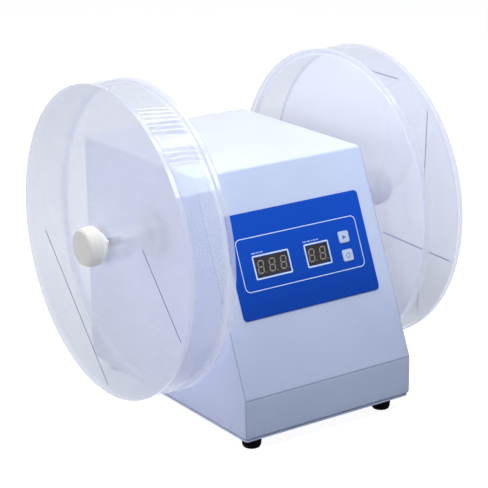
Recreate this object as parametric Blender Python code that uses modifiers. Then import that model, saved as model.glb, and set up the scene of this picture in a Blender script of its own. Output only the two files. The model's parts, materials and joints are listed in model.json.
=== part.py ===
"""Tablet friability tester: a sheet metal housing with a slanted control panel, and a clear drum at each
end of one shaft. Each drum has a curved scoop that lifts the tablets and drops them as it turns.

Metres, +Z up, +X along the shaft to the right, the control panel towards -Y. The origin is on the table,
under the middle of the shaft. Every turned piece is drawn in its own frame, with Z outward along the shaft.
"""

import math

import bmesh
import bpy
from mathutils import Matrix, Vector

# Clearances
GAP = 0.0003
CUT_OVERRUN = 0.002

# Drum, to the pharmacopoeia's sizes
DRUM_BORE = 0.287
DRUM_DEPTH = 0.038
DRUM_WALL = 0.004
DISC_THICK = 0.005
DISC_LAP = 0.0005
RING_DIAMETER = 0.025
RING_WALL = 0.003
SCOOP_RADIUS_SHARE = 0.561
SCOOP_THICK = 0.003
SCOOP_DIRECTION_DEG = {"left": -131.5, "right": 92.7}
DRUM_SIDE_CLEARANCE = 0.0105
DRUM_TABLE_CLEARANCE = 0.0295
DRUM_STEPS = 60
SCOOP_STEPS = 14

# Housing of folded sheet
BODY_WIDTH = 0.192
FRONT_TO_AXIS = 0.145
AXIS_TO_BACK = 0.131
AXIS_TO_TOP = 0.0685
SKIRT_HEIGHT = 0.0375
SLANT_RUN = 0.080
SHEET = 0.0015
BEND_RADIUS = 0.003
BEND_STEPS = 2
RETURN_LIP = 0.015
SHAFT_HOLE_CLEARANCE = 0.002

# Base plate, feet and their screws
BASE_THICK = 0.002
BASE_INSET = 0.0015
BASE_CORNER = 0.003
VENT_LENGTH = 0.032
VENT_WIDTH = 0.003
VENT_PITCH = 0.007
VENT_END = 0.0014
VENT_COUNT = 4
FOOT_HEIGHT = 0.0139
FOOT_INSET = 0.020
FOOT_TOP_RADIUS = 0.0100
FOOT_LOW_RADIUS = 0.0088
FOOT_SOLE_RADIUS = 0.0076
FOOT_SOLE_ROUND = 0.0022
FOOT_BORE_RADIUS = 0.0048
FOOT_WEB = 0.0065
FOOT_SCREW_RADIUS = 0.0020
FOOT_SCREW_HEAD_RADIUS = 0.0040
FOOT_SCREW_HEAD = 0.0024
FOOT_SCREW_END = 0.0020

# Shaft, bearings and uprights
SHOULDER_RADIUS = 0.0070
JOURNAL_RADIUS = 0.0060
SPINDLE_RADIUS = 0.0040
BEARING_RADIUS = 0.0140
BEARING_WIDTH = 0.0080
RACE_THICK = 0.0019
SHIELD_RECESS = 0.0005
UPRIGHT_INSET = 0.018
UPRIGHT_FOOT_WIDTH = 0.090
UPRIGHT_FOOT_HEIGHT = 0.008
UPRIGHT_RIM = 0.010

# Hub that drives each drum by a pin
HUB_CLEARANCE = 0.0015
HUB_FLANGE_RADIUS = 0.022
HUB_FLANGE = 0.004
HUB_BOSS_RADIUS = 0.011
HUB_LEDGE = 0.003
HUB_PIN_RADIUS = 0.0015
HUB_PIN_CIRCLE = 0.0072
HUB_PIN_REACH = 0.0035

# Knob and washer that hold each lid
WASHER_THICK = 0.0012
WASHER_RADIUS = 0.0112
KNOB_LENGTH = 0.0202
KNOB_THREAD = 0.014
KNOB_FACE_RADIUS = 0.0158
KNOB_FRONT_RADIUS = 0.0174
KNOB_RADIUS = 0.0188
KNOB_REAR_RADIUS = 0.0148
KNOB_NECK_RADIUS = 0.0100
KNOB_NECK = 0.0020
KNOB_FRONT_CHAMFER = 0.0016
KNOB_CROWN = 0.0070
KNOB_REAR_TAPER = 0.0045

# Gear pair and gear motor
GEAR_MODULE = 0.002
GEAR_TEETH = 45
PINION_TEETH = 15
PRESSURE_ANGLE_DEG = 20.0
TOOTH_THINNING = 0.00018
DEDENDUM_SHARE = 1.25
GEAR_WIDTH = 0.010
GEAR_INSET = 0.025
GEAR_BOSS = 0.007
GEAR_BOSS_RADIUS = 0.0125
PINION_EXTRA_WIDTH = 0.002
PINION_STANDOFF = 0.012
OUTPUT_RADIUS = 0.003
OUTPUT_OFFSET = 0.007
GEARBOX_RADIUS = 0.0185
GEARBOX_LENGTH = 0.022
MOTOR_RADIUS = 0.0168
MOTOR_LENGTH = 0.031
MOTOR_CAP_RADIUS = 0.0105
MOTOR_CAP = 0.003
MOTOR_EDGE = 0.001
NOSE_RADIUS = 0.006
NOSE_LENGTH = 0.0055
NOSE_FLOOR = 0.0008
BRACKET_SHEET = 0.0025
BRACKET_WIDTH = 0.052
BRACKET_FOOT = 0.024
BRACKET_RISE = 0.022

# Counting disc and its light barrier
COUNT_DISC_RADIUS = 0.030
COUNT_DISC_THICK = 0.0015
COUNT_DISC_INSET = 0.012
COUNT_BOSS = 0.008
COUNT_BOSS_RADIUS = 0.012
COUNT_SLOT_WIDTH = 0.004
COUNT_SLOT_DEPTH = 0.009
SENSOR_WIDTH = 0.012
SENSOR_HEIGHT = 0.024
SENSOR_ARM = 0.0055
SENSOR_SLOT = 0.005
SENSOR_SLOT_DEPTH = 0.013
SENSOR_OVERLAP = 0.008

# Control panel, in the slanted face's own frame about the middle of the label
LABEL_WIDTH = 0.156
LABEL_HEIGHT = 0.097
LABEL_BELOW_TOP_EDGE = 0.041
LABEL_THICK = 0.0005
LABEL_CORNER = 0.004
DISPLAY_HEIGHT = 0.019
DISPLAY_DEPTH = 0.008
DISPLAY_DROP = 0.003
DISPLAY_EDGE = 0.0004
THREE_DIGIT_WIDTH = 0.0376
THREE_DIGIT_ACROSS = -0.0344
TWO_DIGIT_WIDTH = 0.025
TWO_DIGIT_ACROSS = 0.0178
DISPLAY_LIP = 0.0003
BUTTON_WIDTH = 0.0116
BUTTON_HEIGHT = 0.0110
BUTTON_CORNER = 0.0016
BUTTON_ACROSS = 0.0507
START_UP = 0.0072
RESET_UP = -0.0105
BUTTON_PROUD = 0.0007
BUTTON_FLANGE = 0.001
BUTTON_FLANGE_LAP = 0.0011
BUTTON_STEM_RADIUS = 0.002
BUTTON_STEM = 0.0006
BUTTON_TRAVEL_ROOM = 0.0007
TACT_SIZE = 0.006
TACT_PLUNGER_RADIUS = 0.00175
TACT_PLUNGER = 0.0007
BOARD_WIDTH = 0.134
BOARD_HEIGHT = 0.054
BOARD_THICK = 0.0016
BOARD_CORNER = 0.002
STANDOFF_INSET = 0.005
STANDOFF_RADIUS = 0.0031
STANDOFF_STUD_RADIUS = 0.0014
STANDOFF_STUD = 0.0015

# Rear panel and what it carries
PANEL_MARGIN = 0.006
PANEL_THICK = 0.0015
PANEL_CORNER = 0.004
PANEL_SCREW_INSET = 0.0045
PANEL_SCREW_RADIUS = 0.0015
PANEL_SCREW_HEAD_RADIUS = 0.0030
PANEL_SCREW_HEAD = 0.0018
PANEL_SCREW_END = 0.003
PANEL_ROW_UP = 0.045
PANEL_VENT_LENGTH = 0.060
PANEL_VENT_DOWN = 0.022
INLET_ACROSS_SHARE = -5 / 18
INLET_WIDTH = 0.0264
INLET_HEIGHT = 0.0194
INLET_DEPTH = 0.022
INLET_FLANGE_LAP = 0.0024
INLET_FLANGE = 0.0025
INLET_CORNER = 0.0012
SOCKET_WIDTH = 0.0238
SOCKET_HEIGHT = 0.0162
SOCKET_DEPTH = 0.016
SOCKET_CHAMFER = 0.0045
INLET_PIN_SPACING = 0.007
INLET_PIN_THICK = 0.002
INLET_PIN_HEIGHT = 0.004
INLET_PIN_LENGTH = 0.013
INLET_EARTH_UP = 0.002
SWITCH_ACROSS_SHARE = -2 / 45
SWITCH_WIDTH = 0.0128
SWITCH_HEIGHT = 0.0192
SWITCH_DEPTH = 0.014
SWITCH_FLANGE = 0.0016
SWITCH_FLANGE_LAP = 0.0012
SWITCH_POCKET_DEPTH = 0.008
SWITCH_RIM = 0.0014
ROCKER_END = 0.0024
ROCKER_MIDDLE = 0.0012
ROCKER_BACK = 0.0030
ROCKER_TILT_DEG = 10.0
ROCKER_PIVOT_RADIUS = 0.0012
ROCKER_PIVOT_REACH = 0.0008
FUSE_ACROSS_SHARE = 11 / 90
FUSE_BODY_RADIUS = 0.0060
FUSE_FLANGE_RADIUS = 0.0082
FUSE_FLANGE = 0.002
FUSE_DEPTH = 0.028
FUSE_BORE_RADIUS = 0.0042
FUSE_BORE_DEPTH = 0.024
FUSE_CAP_RADIUS = 0.0064
FUSE_CAP_HEIGHT = 0.0065
FUSE_CAP_EDGE = 0.0008
FUSE_STEM = 0.016
FUSE_SLOT_WIDTH = 0.0014
FUSE_SLOT_DEPTH = 0.0016

# Power supply on the base plate
SUPPLY_LENGTH = 0.086
SUPPLY_WIDTH = 0.050
SUPPLY_HEIGHT = 0.032
SUPPLY_BEHIND_AXIS = 0.056
SUPPLY_ACROSS = 0.018
SUPPLY_TERMINAL = 0.014
SUPPLY_TERMINAL_HEIGHT = 0.014
SUPPLY_EDGE = 0.001

# Places that follow from the sizes above, outward along the shaft
HOUSING_SIDE = BODY_WIDTH / 2
DISC_INNER_FACE = HOUSING_SIDE + DRUM_SIDE_CLEARANCE
DRUM_FLOOR = DISC_INNER_FACE + DISC_THICK
LID_INNER_FACE = DRUM_FLOOR + DRUM_DEPTH
LID_OUTER_FACE = LID_INNER_FACE + DISC_THICK
KNOB_FOOT = LID_OUTER_FACE + 2 * GAP + WASHER_THICK
SPINDLE_END = KNOB_FOOT + KNOB_THREAD
HUB_FACE = DISC_INNER_FACE - GAP
HUB_STEP = HUB_FACE - HUB_LEDGE
UPRIGHT_OUTER = HOUSING_SIDE - UPRIGHT_INSET
UPRIGHT_INNER = UPRIGHT_OUTER - BEARING_WIDTH
GEAR_MIDDLE = UPRIGHT_INNER - GEAR_INSET
COUNT_DISC_MIDDLE = UPRIGHT_INNER - COUNT_DISC_INSET

# Radii and heights that follow
DRUM_INNER_RADIUS = DRUM_BORE / 2
SCOOP_RADIUS = DRUM_INNER_RADIUS * SCOOP_RADIUS_SHARE
DRUM_OUTER_RADIUS = DRUM_INNER_RADIUS + DRUM_WALL
DISC_RADIUS = DRUM_OUTER_RADIUS + DISC_LAP
RING_RADIUS = RING_DIAMETER / 2
AXIS_HEIGHT = DRUM_TABLE_CLEARANCE + DISC_RADIUS
BASE_BOTTOM = FOOT_HEIGHT + GAP
BASE_TOP = BASE_BOTTOM + BASE_THICK
BODY_BOTTOM = BASE_TOP + GAP
BODY_TOP = AXIS_HEIGHT + AXIS_TO_TOP
KNEE_HEIGHT = BODY_BOTTOM + SKIRT_HEIGHT
SLANT_RISE = BODY_TOP - KNEE_HEIGHT
SLANT_LENGTH = math.hypot(SLANT_RUN, SLANT_RISE)
SLANT_LEAN = math.atan2(SLANT_RUN, SLANT_RISE)
GEAR_DISTANCE = GEAR_MODULE * (GEAR_TEETH + PINION_TEETH) / 2
PINION_HEIGHT = AXIS_HEIGHT - GEAR_DISTANCE
MOTOR_HEIGHT = PINION_HEIGHT - OUTPUT_OFFSET
BOARD_FRONT = DISPLAY_DEPTH + GAP

# Turns that lay a piece's own Z along a world direction
OUTWARD_TURN = {"left": (0.0, -math.pi / 2, 0.0), "right": (0.0, math.pi / 2, 0.0)}
ACROSS_TURN = (math.pi / 2, 0.0, math.pi / 2)
FRONT_TURN = (math.pi / 2, 0.0, 0.0)
REAR_TURN = (math.pi / 2, 0.0, math.pi)
UPRIGHT_TURN = (0.0, 0.0, 0.0)
SIDE_SIGN = {"left": -1.0, "right": 1.0}

SHARP_ANGLE = math.radians(32)
WELD_DISTANCE = 0.000001


def clear_scene():
    """Removes whatever the scene holds at the start."""
    for old in list(bpy.data.objects):
        bpy.data.objects.remove(old, do_unlink=True)


def new_collection(name):
    """Adds a collection under the scene's own."""
    collection = bpy.data.collections.new(name)
    bpy.context.scene.collection.children.link(collection)
    return collection


clear_scene()
PARTS = new_collection("tablet_friability_tester")
CUTTERS = new_collection("cutters")
CUTTERS.hide_render = True


def material(name, colour, roughness, metallic=0.0, transmission=0.0):
    """Makes a Principled material."""
    made = bpy.data.materials.new(name)
    made.use_nodes = True
    shader = made.node_tree.nodes["Principled BSDF"]
    shader.inputs["Base Color"].default_value = (*colour, 1.0)
    shader.inputs["Roughness"].default_value = roughness
    shader.inputs["Metallic"].default_value = metallic
    shader.inputs["Transmission Weight"].default_value = transmission
    made.diffuse_color = (*colour, 1.0)
    return made


POWDER_COAT = material("powder_coat", (0.62, 0.68, 0.80), 0.45)
BARE_STEEL = material("zinc_steel", (0.62, 0.63, 0.64), 0.35, metallic=0.9)
TURNED_STEEL = material("turned_steel", (0.70, 0.70, 0.71), 0.22, metallic=1.0)
ALUMINIUM = material("aluminium", (0.75, 0.76, 0.78), 0.40, metallic=1.0)
ACRYLIC = material("clear_acrylic", (0.90, 0.91, 0.97), 0.10, transmission=0.9)
KNOB_PLASTIC = material("cream_nylon", (0.84, 0.83, 0.76), 0.42)
WASHER_PLASTIC = material("white_nylon", (0.93, 0.93, 0.92), 0.40)
RUBBER = material("black_rubber", (0.015, 0.015, 0.016), 0.75)
LABEL_FILM = material("blue_label_film", (0.012, 0.085, 0.52), 0.35)
DISPLAY_FACE = material("display_face", (0.045, 0.034, 0.032), 0.25)
BUTTON_PLASTIC = material("pale_button", (0.60, 0.68, 0.85), 0.40)
BOARD_GREEN = material("circuit_board", (0.02, 0.16, 0.06), 0.50)
BLACK_PLASTIC = material("black_plastic", (0.02, 0.02, 0.022), 0.40)
GEAR_PLASTIC = material("gear_acetal", (0.88, 0.87, 0.82), 0.38)
MOTOR_GREY = material("motor_steel", (0.45, 0.46, 0.48), 0.38, metallic=0.8)


def place(name, data, skin, location, turn, collection=None):
    """Links new data as an object with its material and place."""
    made = bpy.data.objects.new(name, data)
    (collection or PARTS).objects.link(made)
    made.location = location
    made.rotation_euler = turn
    if skin is not None:
        data.materials.clear()
        data.materials.append(skin)
    return made


def baked(source):
    """Replaces an object by a plain, welded and smoothly shaded mesh of its evaluated shape."""
    bpy.context.view_layer.update()
    graph = bpy.context.evaluated_depsgraph_get()
    mesh = bpy.data.meshes.new_from_object(source.evaluated_get(graph))
    shape = bmesh.new()
    shape.from_mesh(mesh)
    bmesh.ops.remove_doubles(shape, verts=shape.verts, dist=WELD_DISTANCE)
    bmesh.ops.recalc_face_normals(shape, faces=shape.faces)
    shape.to_mesh(mesh)
    shape.free()
    mesh.shade_smooth()
    mesh.set_sharp_from_angle(angle=SHARP_ANGLE)
    name, matrix, collection = source.name, source.matrix_world.copy(), source.users_collection[0]
    bpy.data.objects.remove(source, do_unlink=True)
    made = bpy.data.objects.new(name, mesh)
    collection.objects.link(made)
    made.matrix_world = matrix
    return made


def turned(name, profile, skin, location, turn, steps, collection=None):
    """Turns a profile of (radius, height) points about Z. It runs down its outer side; a bored one closes."""
    mesh = bpy.data.meshes.new(name)
    points = [(radius, 0.0, height) for radius, height in profile]
    edges = [(i, i + 1) for i in range(len(points) - 1)]
    if profile[0][0] > 0 and profile[-1][0] > 0:
        edges.append((len(points) - 1, 0))
    mesh.from_pydata(points, edges, [])
    made = place(name, mesh, skin, location, turn, collection)
    screw = made.modifiers.new("Screw", "SCREW")
    screw.axis = "Z"
    screw.steps = steps
    screw.render_steps = steps
    screw.use_merge_vertices = True
    screw.merge_threshold = WELD_DISTANCE
    return baked(made)


def flat(name, outlines, thickness, skin, location, turn, collection=None):
    """Extrudes flat outlines equally both ways; an outline inside another is a hole."""
    curve = bpy.data.curves.new(name, "CURVE")
    curve.dimensions = "2D"
    curve.fill_mode = "BOTH"
    curve.extrude = thickness / 2
    for outline in outlines:
        spline = curve.splines.new("POLY")
        spline.points.add(len(outline) - 1)
        for point, (x, y) in zip(spline.points, outline):
            point.co = (x, y, 0.0, 1.0)
        spline.use_cyclic_u = True
    return baked(place(name, curve, skin, location, turn, collection))


def block(name, size, skin, location, turn, collection=None):
    """A box of the given size about its own origin."""
    mesh = bpy.data.meshes.new(name)
    shape = bmesh.new()
    bmesh.ops.create_cube(shape, size=1.0, matrix=Matrix.Diagonal((*size, 1.0)))
    shape.to_mesh(mesh)
    shape.free()
    return place(name, mesh, skin, location, turn, collection)


def rod(name, radius, length, skin, location, turn, steps, collection=None):
    """A cylinder about its own origin, along its own Z."""
    mesh = bpy.data.meshes.new(name)
    shape = bmesh.new()
    bmesh.ops.create_cone(
        shape, cap_ends=True, segments=steps, radius1=radius, radius2=radius, depth=length
    )
    shape.to_mesh(mesh)
    shape.free()
    mesh.shade_smooth()
    mesh.set_sharp_from_angle(angle=SHARP_ANGLE)
    return place(name, mesh, skin, location, turn, collection)


def combine(target, other, operation):
    """Adds a Boolean with a helper that stays in the cutters' collection."""
    other.hide_render = True
    other.display_type = "WIRE"
    change = target.modifiers.new(f"{operation.title()} {other.name}", "BOOLEAN")
    change.operation = operation
    change.object = other
    return target


def cut(target, cutter):
    """Cuts a helper's shape out of a piece."""
    return combine(target, cutter, "DIFFERENCE")


def join(target, extra):
    """Joins a helper's shape to a piece."""
    return combine(target, extra, "UNION")


def drill(target, name, radius, length, location, turn, steps):
    """Cuts a round hole."""
    return cut(target, rod(name, radius, length, None, location, turn, steps, CUTTERS))


def carve(target, name, size, location):
    """Cuts a box out of a piece."""
    return cut(target, block(name, size, None, location, UPRIGHT_TURN, CUTTERS))


def join_rod(target, name, radius, length, location, turn, steps):
    """Joins a round bar to a piece."""
    return join(target, rod(name, radius, length, None, location, turn, steps, CUTTERS))


def join_block(target, name, size, location):
    """Joins a box to a piece."""
    return join(target, block(name, size, None, location, UPRIGHT_TURN, CUTTERS))


def bevelled(target, width, segments=2):
    """Rounds a piece's sharp edges."""
    bevel = target.modifiers.new("Bevel", "BEVEL")
    bevel.width = width
    bevel.segments = segments
    bevel.limit_method = "ANGLE"
    return target


def arc(centre, radius, start, end, steps):
    """Points along a circular arc, both ends included; angles in radians."""
    turns = [start + (end - start) * i / steps for i in range(steps + 1)]
    return [(centre[0] + radius * math.cos(t), centre[1] + radius * math.sin(t)) for t in turns]


def circle(centre, radius, steps):
    """Points round a full circle."""
    return arc(centre, radius, 0.0, 2 * math.pi, steps)[:-1]


def rounded_rectangle(centre, width, height, corner, steps=4):
    """Points round a rectangle with round corners."""
    points = []
    for quarter, (side, up) in enumerate(((1, 1), (-1, 1), (-1, -1), (1, -1))):
        middle = (centre[0] + side * (width / 2 - corner), centre[1] + up * (height / 2 - corner))
        start = quarter * math.pi / 2
        points += arc(middle, corner, start, start + math.pi / 2, steps)
    return points


def on_axis(height=AXIS_HEIGHT, across=0.0, back=0.0):
    """A place given by its height, its distance to the right and its distance behind the shaft."""
    return (across, back, height)


# Housing


def housing_outline():
    """The side view of the housing as (back, up) corners, from the bottom of the front skirt upward."""
    return [
        (-FRONT_TO_AXIS, BODY_BOTTOM),
        (AXIS_TO_BACK, BODY_BOTTOM),
        (AXIS_TO_BACK, BODY_TOP),
        (SLANT_RUN - FRONT_TO_AXIS, BODY_TOP),
        (-FRONT_TO_AXIS, KNEE_HEIGHT),
    ]


def open_face(shape, direction, lip):
    """Leaves only a lip round the largest face that looks in a direction."""
    facing = [face for face in shape.faces if face.normal.dot(direction) > math.cos(SHARP_ANGLE)]
    largest = max(facing, key=lambda face: face.calc_area())
    bmesh.ops.inset_individual(shape, faces=[largest], thickness=lip)
    bmesh.ops.delete(shape, geom=[largest], context="FACES")


def build_housing_shell():
    """One welded shell of folded sheet, with return lips round its open back and bottom."""
    shell = flat("housing_shell", [housing_outline()], BODY_WIDTH, POWDER_COAT, (0.0, 0.0, 0.0), ACROSS_TURN)
    shell.data.transform(shell.matrix_world)
    shell.matrix_world = Matrix.Identity(4)
    shape = bmesh.new()
    shape.from_mesh(shell.data)
    bmesh.ops.dissolve_limit(
        shape, angle_limit=math.radians(1), verts=shape.verts, edges=shape.edges
    )
    bmesh.ops.bevel(
        shape, geom=list(shape.edges), offset=BEND_RADIUS, segments=BEND_STEPS, profile=0.5, affect="EDGES"
    )
    open_face(shape, Vector((0.0, 0.0, -1.0)), RETURN_LIP - BEND_RADIUS)
    open_face(shape, Vector((0.0, 1.0, 0.0)), RETURN_LIP - BEND_RADIUS)
    shape.to_mesh(shell.data)
    shape.free()
    shell.data.shade_smooth()
    shell.data.set_sharp_from_angle(angle=SHARP_ANGLE)
    sheet = shell.modifiers.new("Sheet", "SOLIDIFY")
    sheet.thickness = SHEET
    sheet.offset = -1.0
    sheet.use_even_offset = True
    shaft_hole_radius = JOURNAL_RADIUS + SHAFT_HOLE_CLEARANCE
    through = BODY_WIDTH + CUT_OVERRUN
    drill(shell, "shaft_hole", shaft_hole_radius, through, on_axis(), OUTWARD_TURN["right"], 20)
    for name, across, up, width, height in panel_openings():
        cut(shell, panel_block(f"{name}_opening", across, up, width, height))
    through = SHEET + CUT_OVERRUN
    for name, across, back in foot_places():
        middle = (across, back, BODY_BOTTOM + SHEET / 2)
        drill(shell, f"{name}_lip_hole", FOOT_SCREW_RADIUS + GAP, through, middle, UPRIGHT_TURN, 12)
    for name, across, height in panel_screw_places():
        middle = (across, AXIS_TO_BACK - SHEET / 2, height)
        drill(shell, f"{name}_lip_hole", PANEL_SCREW_RADIUS + GAP, through, middle, REAR_TURN, 8)


def foot_places():
    """Each foot's name and place."""
    places = []
    for row, back in (("front", FOOT_INSET - FRONT_TO_AXIS), ("rear", AXIS_TO_BACK - FOOT_INSET)):
        for side, sign in SIDE_SIGN.items():
            places.append((f"foot_{row}_{side}", sign * (HOUSING_SIDE - FOOT_INSET), back))
    return places


def build_base_plate():
    """The plate under the housing's bottom lips, with screw holes and two rows of vent slots."""
    depth = FRONT_TO_AXIS + AXIS_TO_BACK
    middle = (AXIS_TO_BACK - FRONT_TO_AXIS) / 2
    outlines = [
        rounded_rectangle((0.0, middle), BODY_WIDTH - 2 * BASE_INSET, depth - 2 * BASE_INSET, BASE_CORNER)
    ]
    for _, across, back in foot_places():
        outlines.append(circle((across, back), FOOT_SCREW_RADIUS + GAP, 12))
    for sign in SIDE_SIGN.values():
        for slot in range(VENT_COUNT):
            back = middle - FRONT_TO_AXIS / 2 + (slot - (VENT_COUNT - 1) / 2) * VENT_PITCH
            centre = (sign * HOUSING_SIDE / 2, back)
            outlines.append(rounded_rectangle(centre, VENT_LENGTH, VENT_WIDTH, VENT_END, 2))
    flat("base_plate", outlines, BASE_THICK, BARE_STEEL, on_axis(BASE_BOTTOM + BASE_THICK / 2), UPRIGHT_TURN)


def build_feet():
    """Four tapered rubber feet, each held by a screw from below."""
    web_bottom = FOOT_HEIGHT - FOOT_WEB
    foot_profile = [
        (FOOT_SCREW_RADIUS + GAP, FOOT_HEIGHT),
        (FOOT_TOP_RADIUS, FOOT_HEIGHT),
        (FOOT_LOW_RADIUS, FOOT_SOLE_ROUND),
        (FOOT_SOLE_RADIUS, 0.0),
        (FOOT_BORE_RADIUS, 0.0),
        (FOOT_BORE_RADIUS, web_bottom),
        (FOOT_SCREW_RADIUS + GAP, web_bottom),
    ]
    head_top = web_bottom - GAP
    screw_profile = [
        (0.0, BODY_BOTTOM + SHEET + FOOT_SCREW_END),
        (FOOT_SCREW_RADIUS, BODY_BOTTOM + SHEET + FOOT_SCREW_END),
        (FOOT_SCREW_RADIUS, head_top),
        (FOOT_SCREW_HEAD_RADIUS, head_top),
        (FOOT_SCREW_HEAD_RADIUS, head_top - FOOT_SCREW_HEAD / 2),
        (FOOT_SCREW_RADIUS, head_top - FOOT_SCREW_HEAD),
        (0.0, head_top - FOOT_SCREW_HEAD),
    ]
    for name, across, back in foot_places():
        place_on_table = (across, back, 0.0)
        turned(name, foot_profile, RUBBER, place_on_table, UPRIGHT_TURN, 16)
        turned(f"{name}_screw", screw_profile, BARE_STEEL, place_on_table, UPRIGHT_TURN, 10)


# Control panel


def panel_frame():
    """An empty at the middle of the label: X to the right, Y up the slope, Z out of the slanted face."""
    along = SLANT_LENGTH - LABEL_BELOW_TOP_EDGE - LABEL_HEIGHT / 2
    frame = bpy.data.objects.new("control_panel_frame", None)
    PARTS.objects.link(frame)
    frame.location = (
        0.0,
        along * math.sin(SLANT_LEAN) - FRONT_TO_AXIS,
        KNEE_HEIGHT + along * math.cos(SLANT_LEAN),
    )
    frame.rotation_euler = (math.pi / 2 - SLANT_LEAN, 0.0, 0.0)
    bpy.context.view_layer.update()
    return frame


PANEL_FRAME = panel_frame()


def on_panel(piece):
    """Carries a piece, drawn in the panel's own frame, to the slanted face."""
    piece.parent = PANEL_FRAME
    return piece


def panel_openings():
    """The holes in the slanted sheet as name, place and size."""
    lap = 2 * GAP
    return [
        ("three_digit", THREE_DIGIT_ACROSS, -DISPLAY_DROP, THREE_DIGIT_WIDTH + lap, DISPLAY_HEIGHT + lap),
        ("two_digit", TWO_DIGIT_ACROSS, -DISPLAY_DROP, TWO_DIGIT_WIDTH + lap, DISPLAY_HEIGHT + lap),
        ("start", BUTTON_ACROSS, START_UP, BUTTON_WIDTH + lap, BUTTON_HEIGHT + lap),
        ("reset", BUTTON_ACROSS, RESET_UP, BUTTON_WIDTH + lap, BUTTON_HEIGHT + lap),
    ]


def panel_block(name, across, up, width, height):
    """A cutter through the slanted sheet."""
    depth = 2 * (SHEET + CUT_OVERRUN)
    return on_panel(block(name, (width, height, depth), None, (across, up, 0.0), UPRIGHT_TURN, CUTTERS))


def build_label():
    """The label film on the slanted face, with windows for the displays and holes for the buttons."""
    trim = 2 * (GAP + DISPLAY_LIP)
    outlines = [rounded_rectangle((0.0, 0.0), LABEL_WIDTH, LABEL_HEIGHT, LABEL_CORNER, 4)]
    for name, across, up, width, height in panel_openings():
        is_button = name in ("start", "reset")
        corner = BUTTON_CORNER + GAP if is_button else DISPLAY_EDGE
        less = 0.0 if is_button else trim
        outlines.append(rounded_rectangle((across, up), width - less, height - less, corner, 2))
    middle = (0.0, 0.0, GAP + LABEL_THICK / 2)
    on_panel(flat("control_label", outlines, LABEL_THICK, LABEL_FILM, middle, UPRIGHT_TURN))


def build_displays():
    """The two seven-segment display modules, set in the sheet behind the label's windows."""
    for name, across, width in (
        ("display_three_digit", THREE_DIGIT_ACROSS, THREE_DIGIT_WIDTH),
        ("display_two_digit", TWO_DIGIT_ACROSS, TWO_DIGIT_WIDTH),
    ):
        module = block(
            name,
            (width, DISPLAY_HEIGHT, DISPLAY_DEPTH),
            DISPLAY_FACE,
            (across, -DISPLAY_DROP, -DISPLAY_DEPTH / 2),
            UPRIGHT_TURN,
        )
        on_panel(bevelled(module, DISPLAY_EDGE, 1))


def build_buttons():
    """Two push buttons with a flange behind the sheet, each over a small switch on the board."""
    front = GAP + LABEL_THICK + BUTTON_PROUD
    flange_front = -SHEET - GAP
    flange_back = flange_front - BUTTON_FLANGE
    stem_end = flange_back - BUTTON_STEM
    plunger_top = stem_end - BUTTON_TRAVEL_ROOM
    tact_top = plunger_top - TACT_PLUNGER
    tact_back = -BOARD_FRONT + GAP
    lap = 2 * BUTTON_FLANGE_LAP
    for name, up in (("start", START_UP), ("reset", RESET_UP)):
        face = rounded_rectangle((0.0, 0.0), BUTTON_WIDTH, BUTTON_HEIGHT, BUTTON_CORNER, 2)
        middle = (BUTTON_ACROSS, up, (front + flange_back) / 2)
        cap = flat(f"{name}_button", [face], front - flange_back, BUTTON_PLASTIC, middle, UPRIGHT_TURN)
        middle = (BUTTON_ACROSS, up, (flange_front + flange_back) / 2)
        size = (BUTTON_WIDTH + lap, BUTTON_HEIGHT + lap, BUTTON_FLANGE)
        flange = block(f"{name}_button_flange", size, None, middle, UPRIGHT_TURN, CUTTERS)
        middle = (BUTTON_ACROSS, up, (flange_front + stem_end) / 2)
        length = flange_front - stem_end
        stem = rod(f"{name}_button_stem", BUTTON_STEM_RADIUS, length, None, middle, UPRIGHT_TURN, 12, CUTTERS)
        join(join(on_panel(cap), on_panel(flange)), on_panel(stem))
        middle = (BUTTON_ACROSS, up, (tact_top + tact_back) / 2)
        size = (TACT_SIZE, TACT_SIZE, tact_top - tact_back)
        tact = block(f"{name}_tact_switch", size, BLACK_PLASTIC, middle, UPRIGHT_TURN)
        middle = (BUTTON_ACROSS, up, (plunger_top + tact_back) / 2)
        length = plunger_top - tact_back
        plunger = rod(f"{name}_plunger", TACT_PLUNGER_RADIUS, length, None, middle, UPRIGHT_TURN, 12, CUTTERS)
        join(on_panel(tact), on_panel(plunger))


def standoff_places():
    """Each standoff's name and place on the panel."""
    places = []
    for row, up in (("upper", 1), ("lower", -1)):
        for side, sign in SIDE_SIGN.items():
            across = sign * (BOARD_WIDTH / 2 - STANDOFF_INSET)
            places.append((f"board_standoff_{row}_{side}", across, up * (BOARD_HEIGHT / 2 - STANDOFF_INSET)))
    return places


def build_control_board():
    """The circuit board behind the slanted sheet, on four hexagonal standoffs."""
    outlines = [rounded_rectangle((0.0, 0.0), BOARD_WIDTH, BOARD_HEIGHT, BOARD_CORNER, 2)]
    for _, across, up in standoff_places():
        outlines.append(circle((across, up), STANDOFF_STUD_RADIUS + GAP, 8))
    middle = -BOARD_FRONT - BOARD_THICK / 2
    on_panel(flat("control_board", outlines, BOARD_THICK, BOARD_GREEN, (0.0, 0.0, middle), UPRIGHT_TURN))
    front = -SHEET - GAP
    back = -BOARD_FRONT + GAP
    stud_end = -BOARD_FRONT - BOARD_THICK - STANDOFF_STUD
    for name, across, up in standoff_places():
        middle = (across, up, (front + back) / 2)
        body = rod(name, STANDOFF_RADIUS, front - back, BARE_STEEL, middle, UPRIGHT_TURN, 6)
        middle = (across, up, (middle[2] + stud_end) / 2)
        length = 2 * (middle[2] - stud_end)
        stud = rod(f"{name}_stud", STANDOFF_STUD_RADIUS, length, None, middle, UPRIGHT_TURN, 8, CUTTERS)
        join(on_panel(body), on_panel(stud))


# Shaft line


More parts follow.
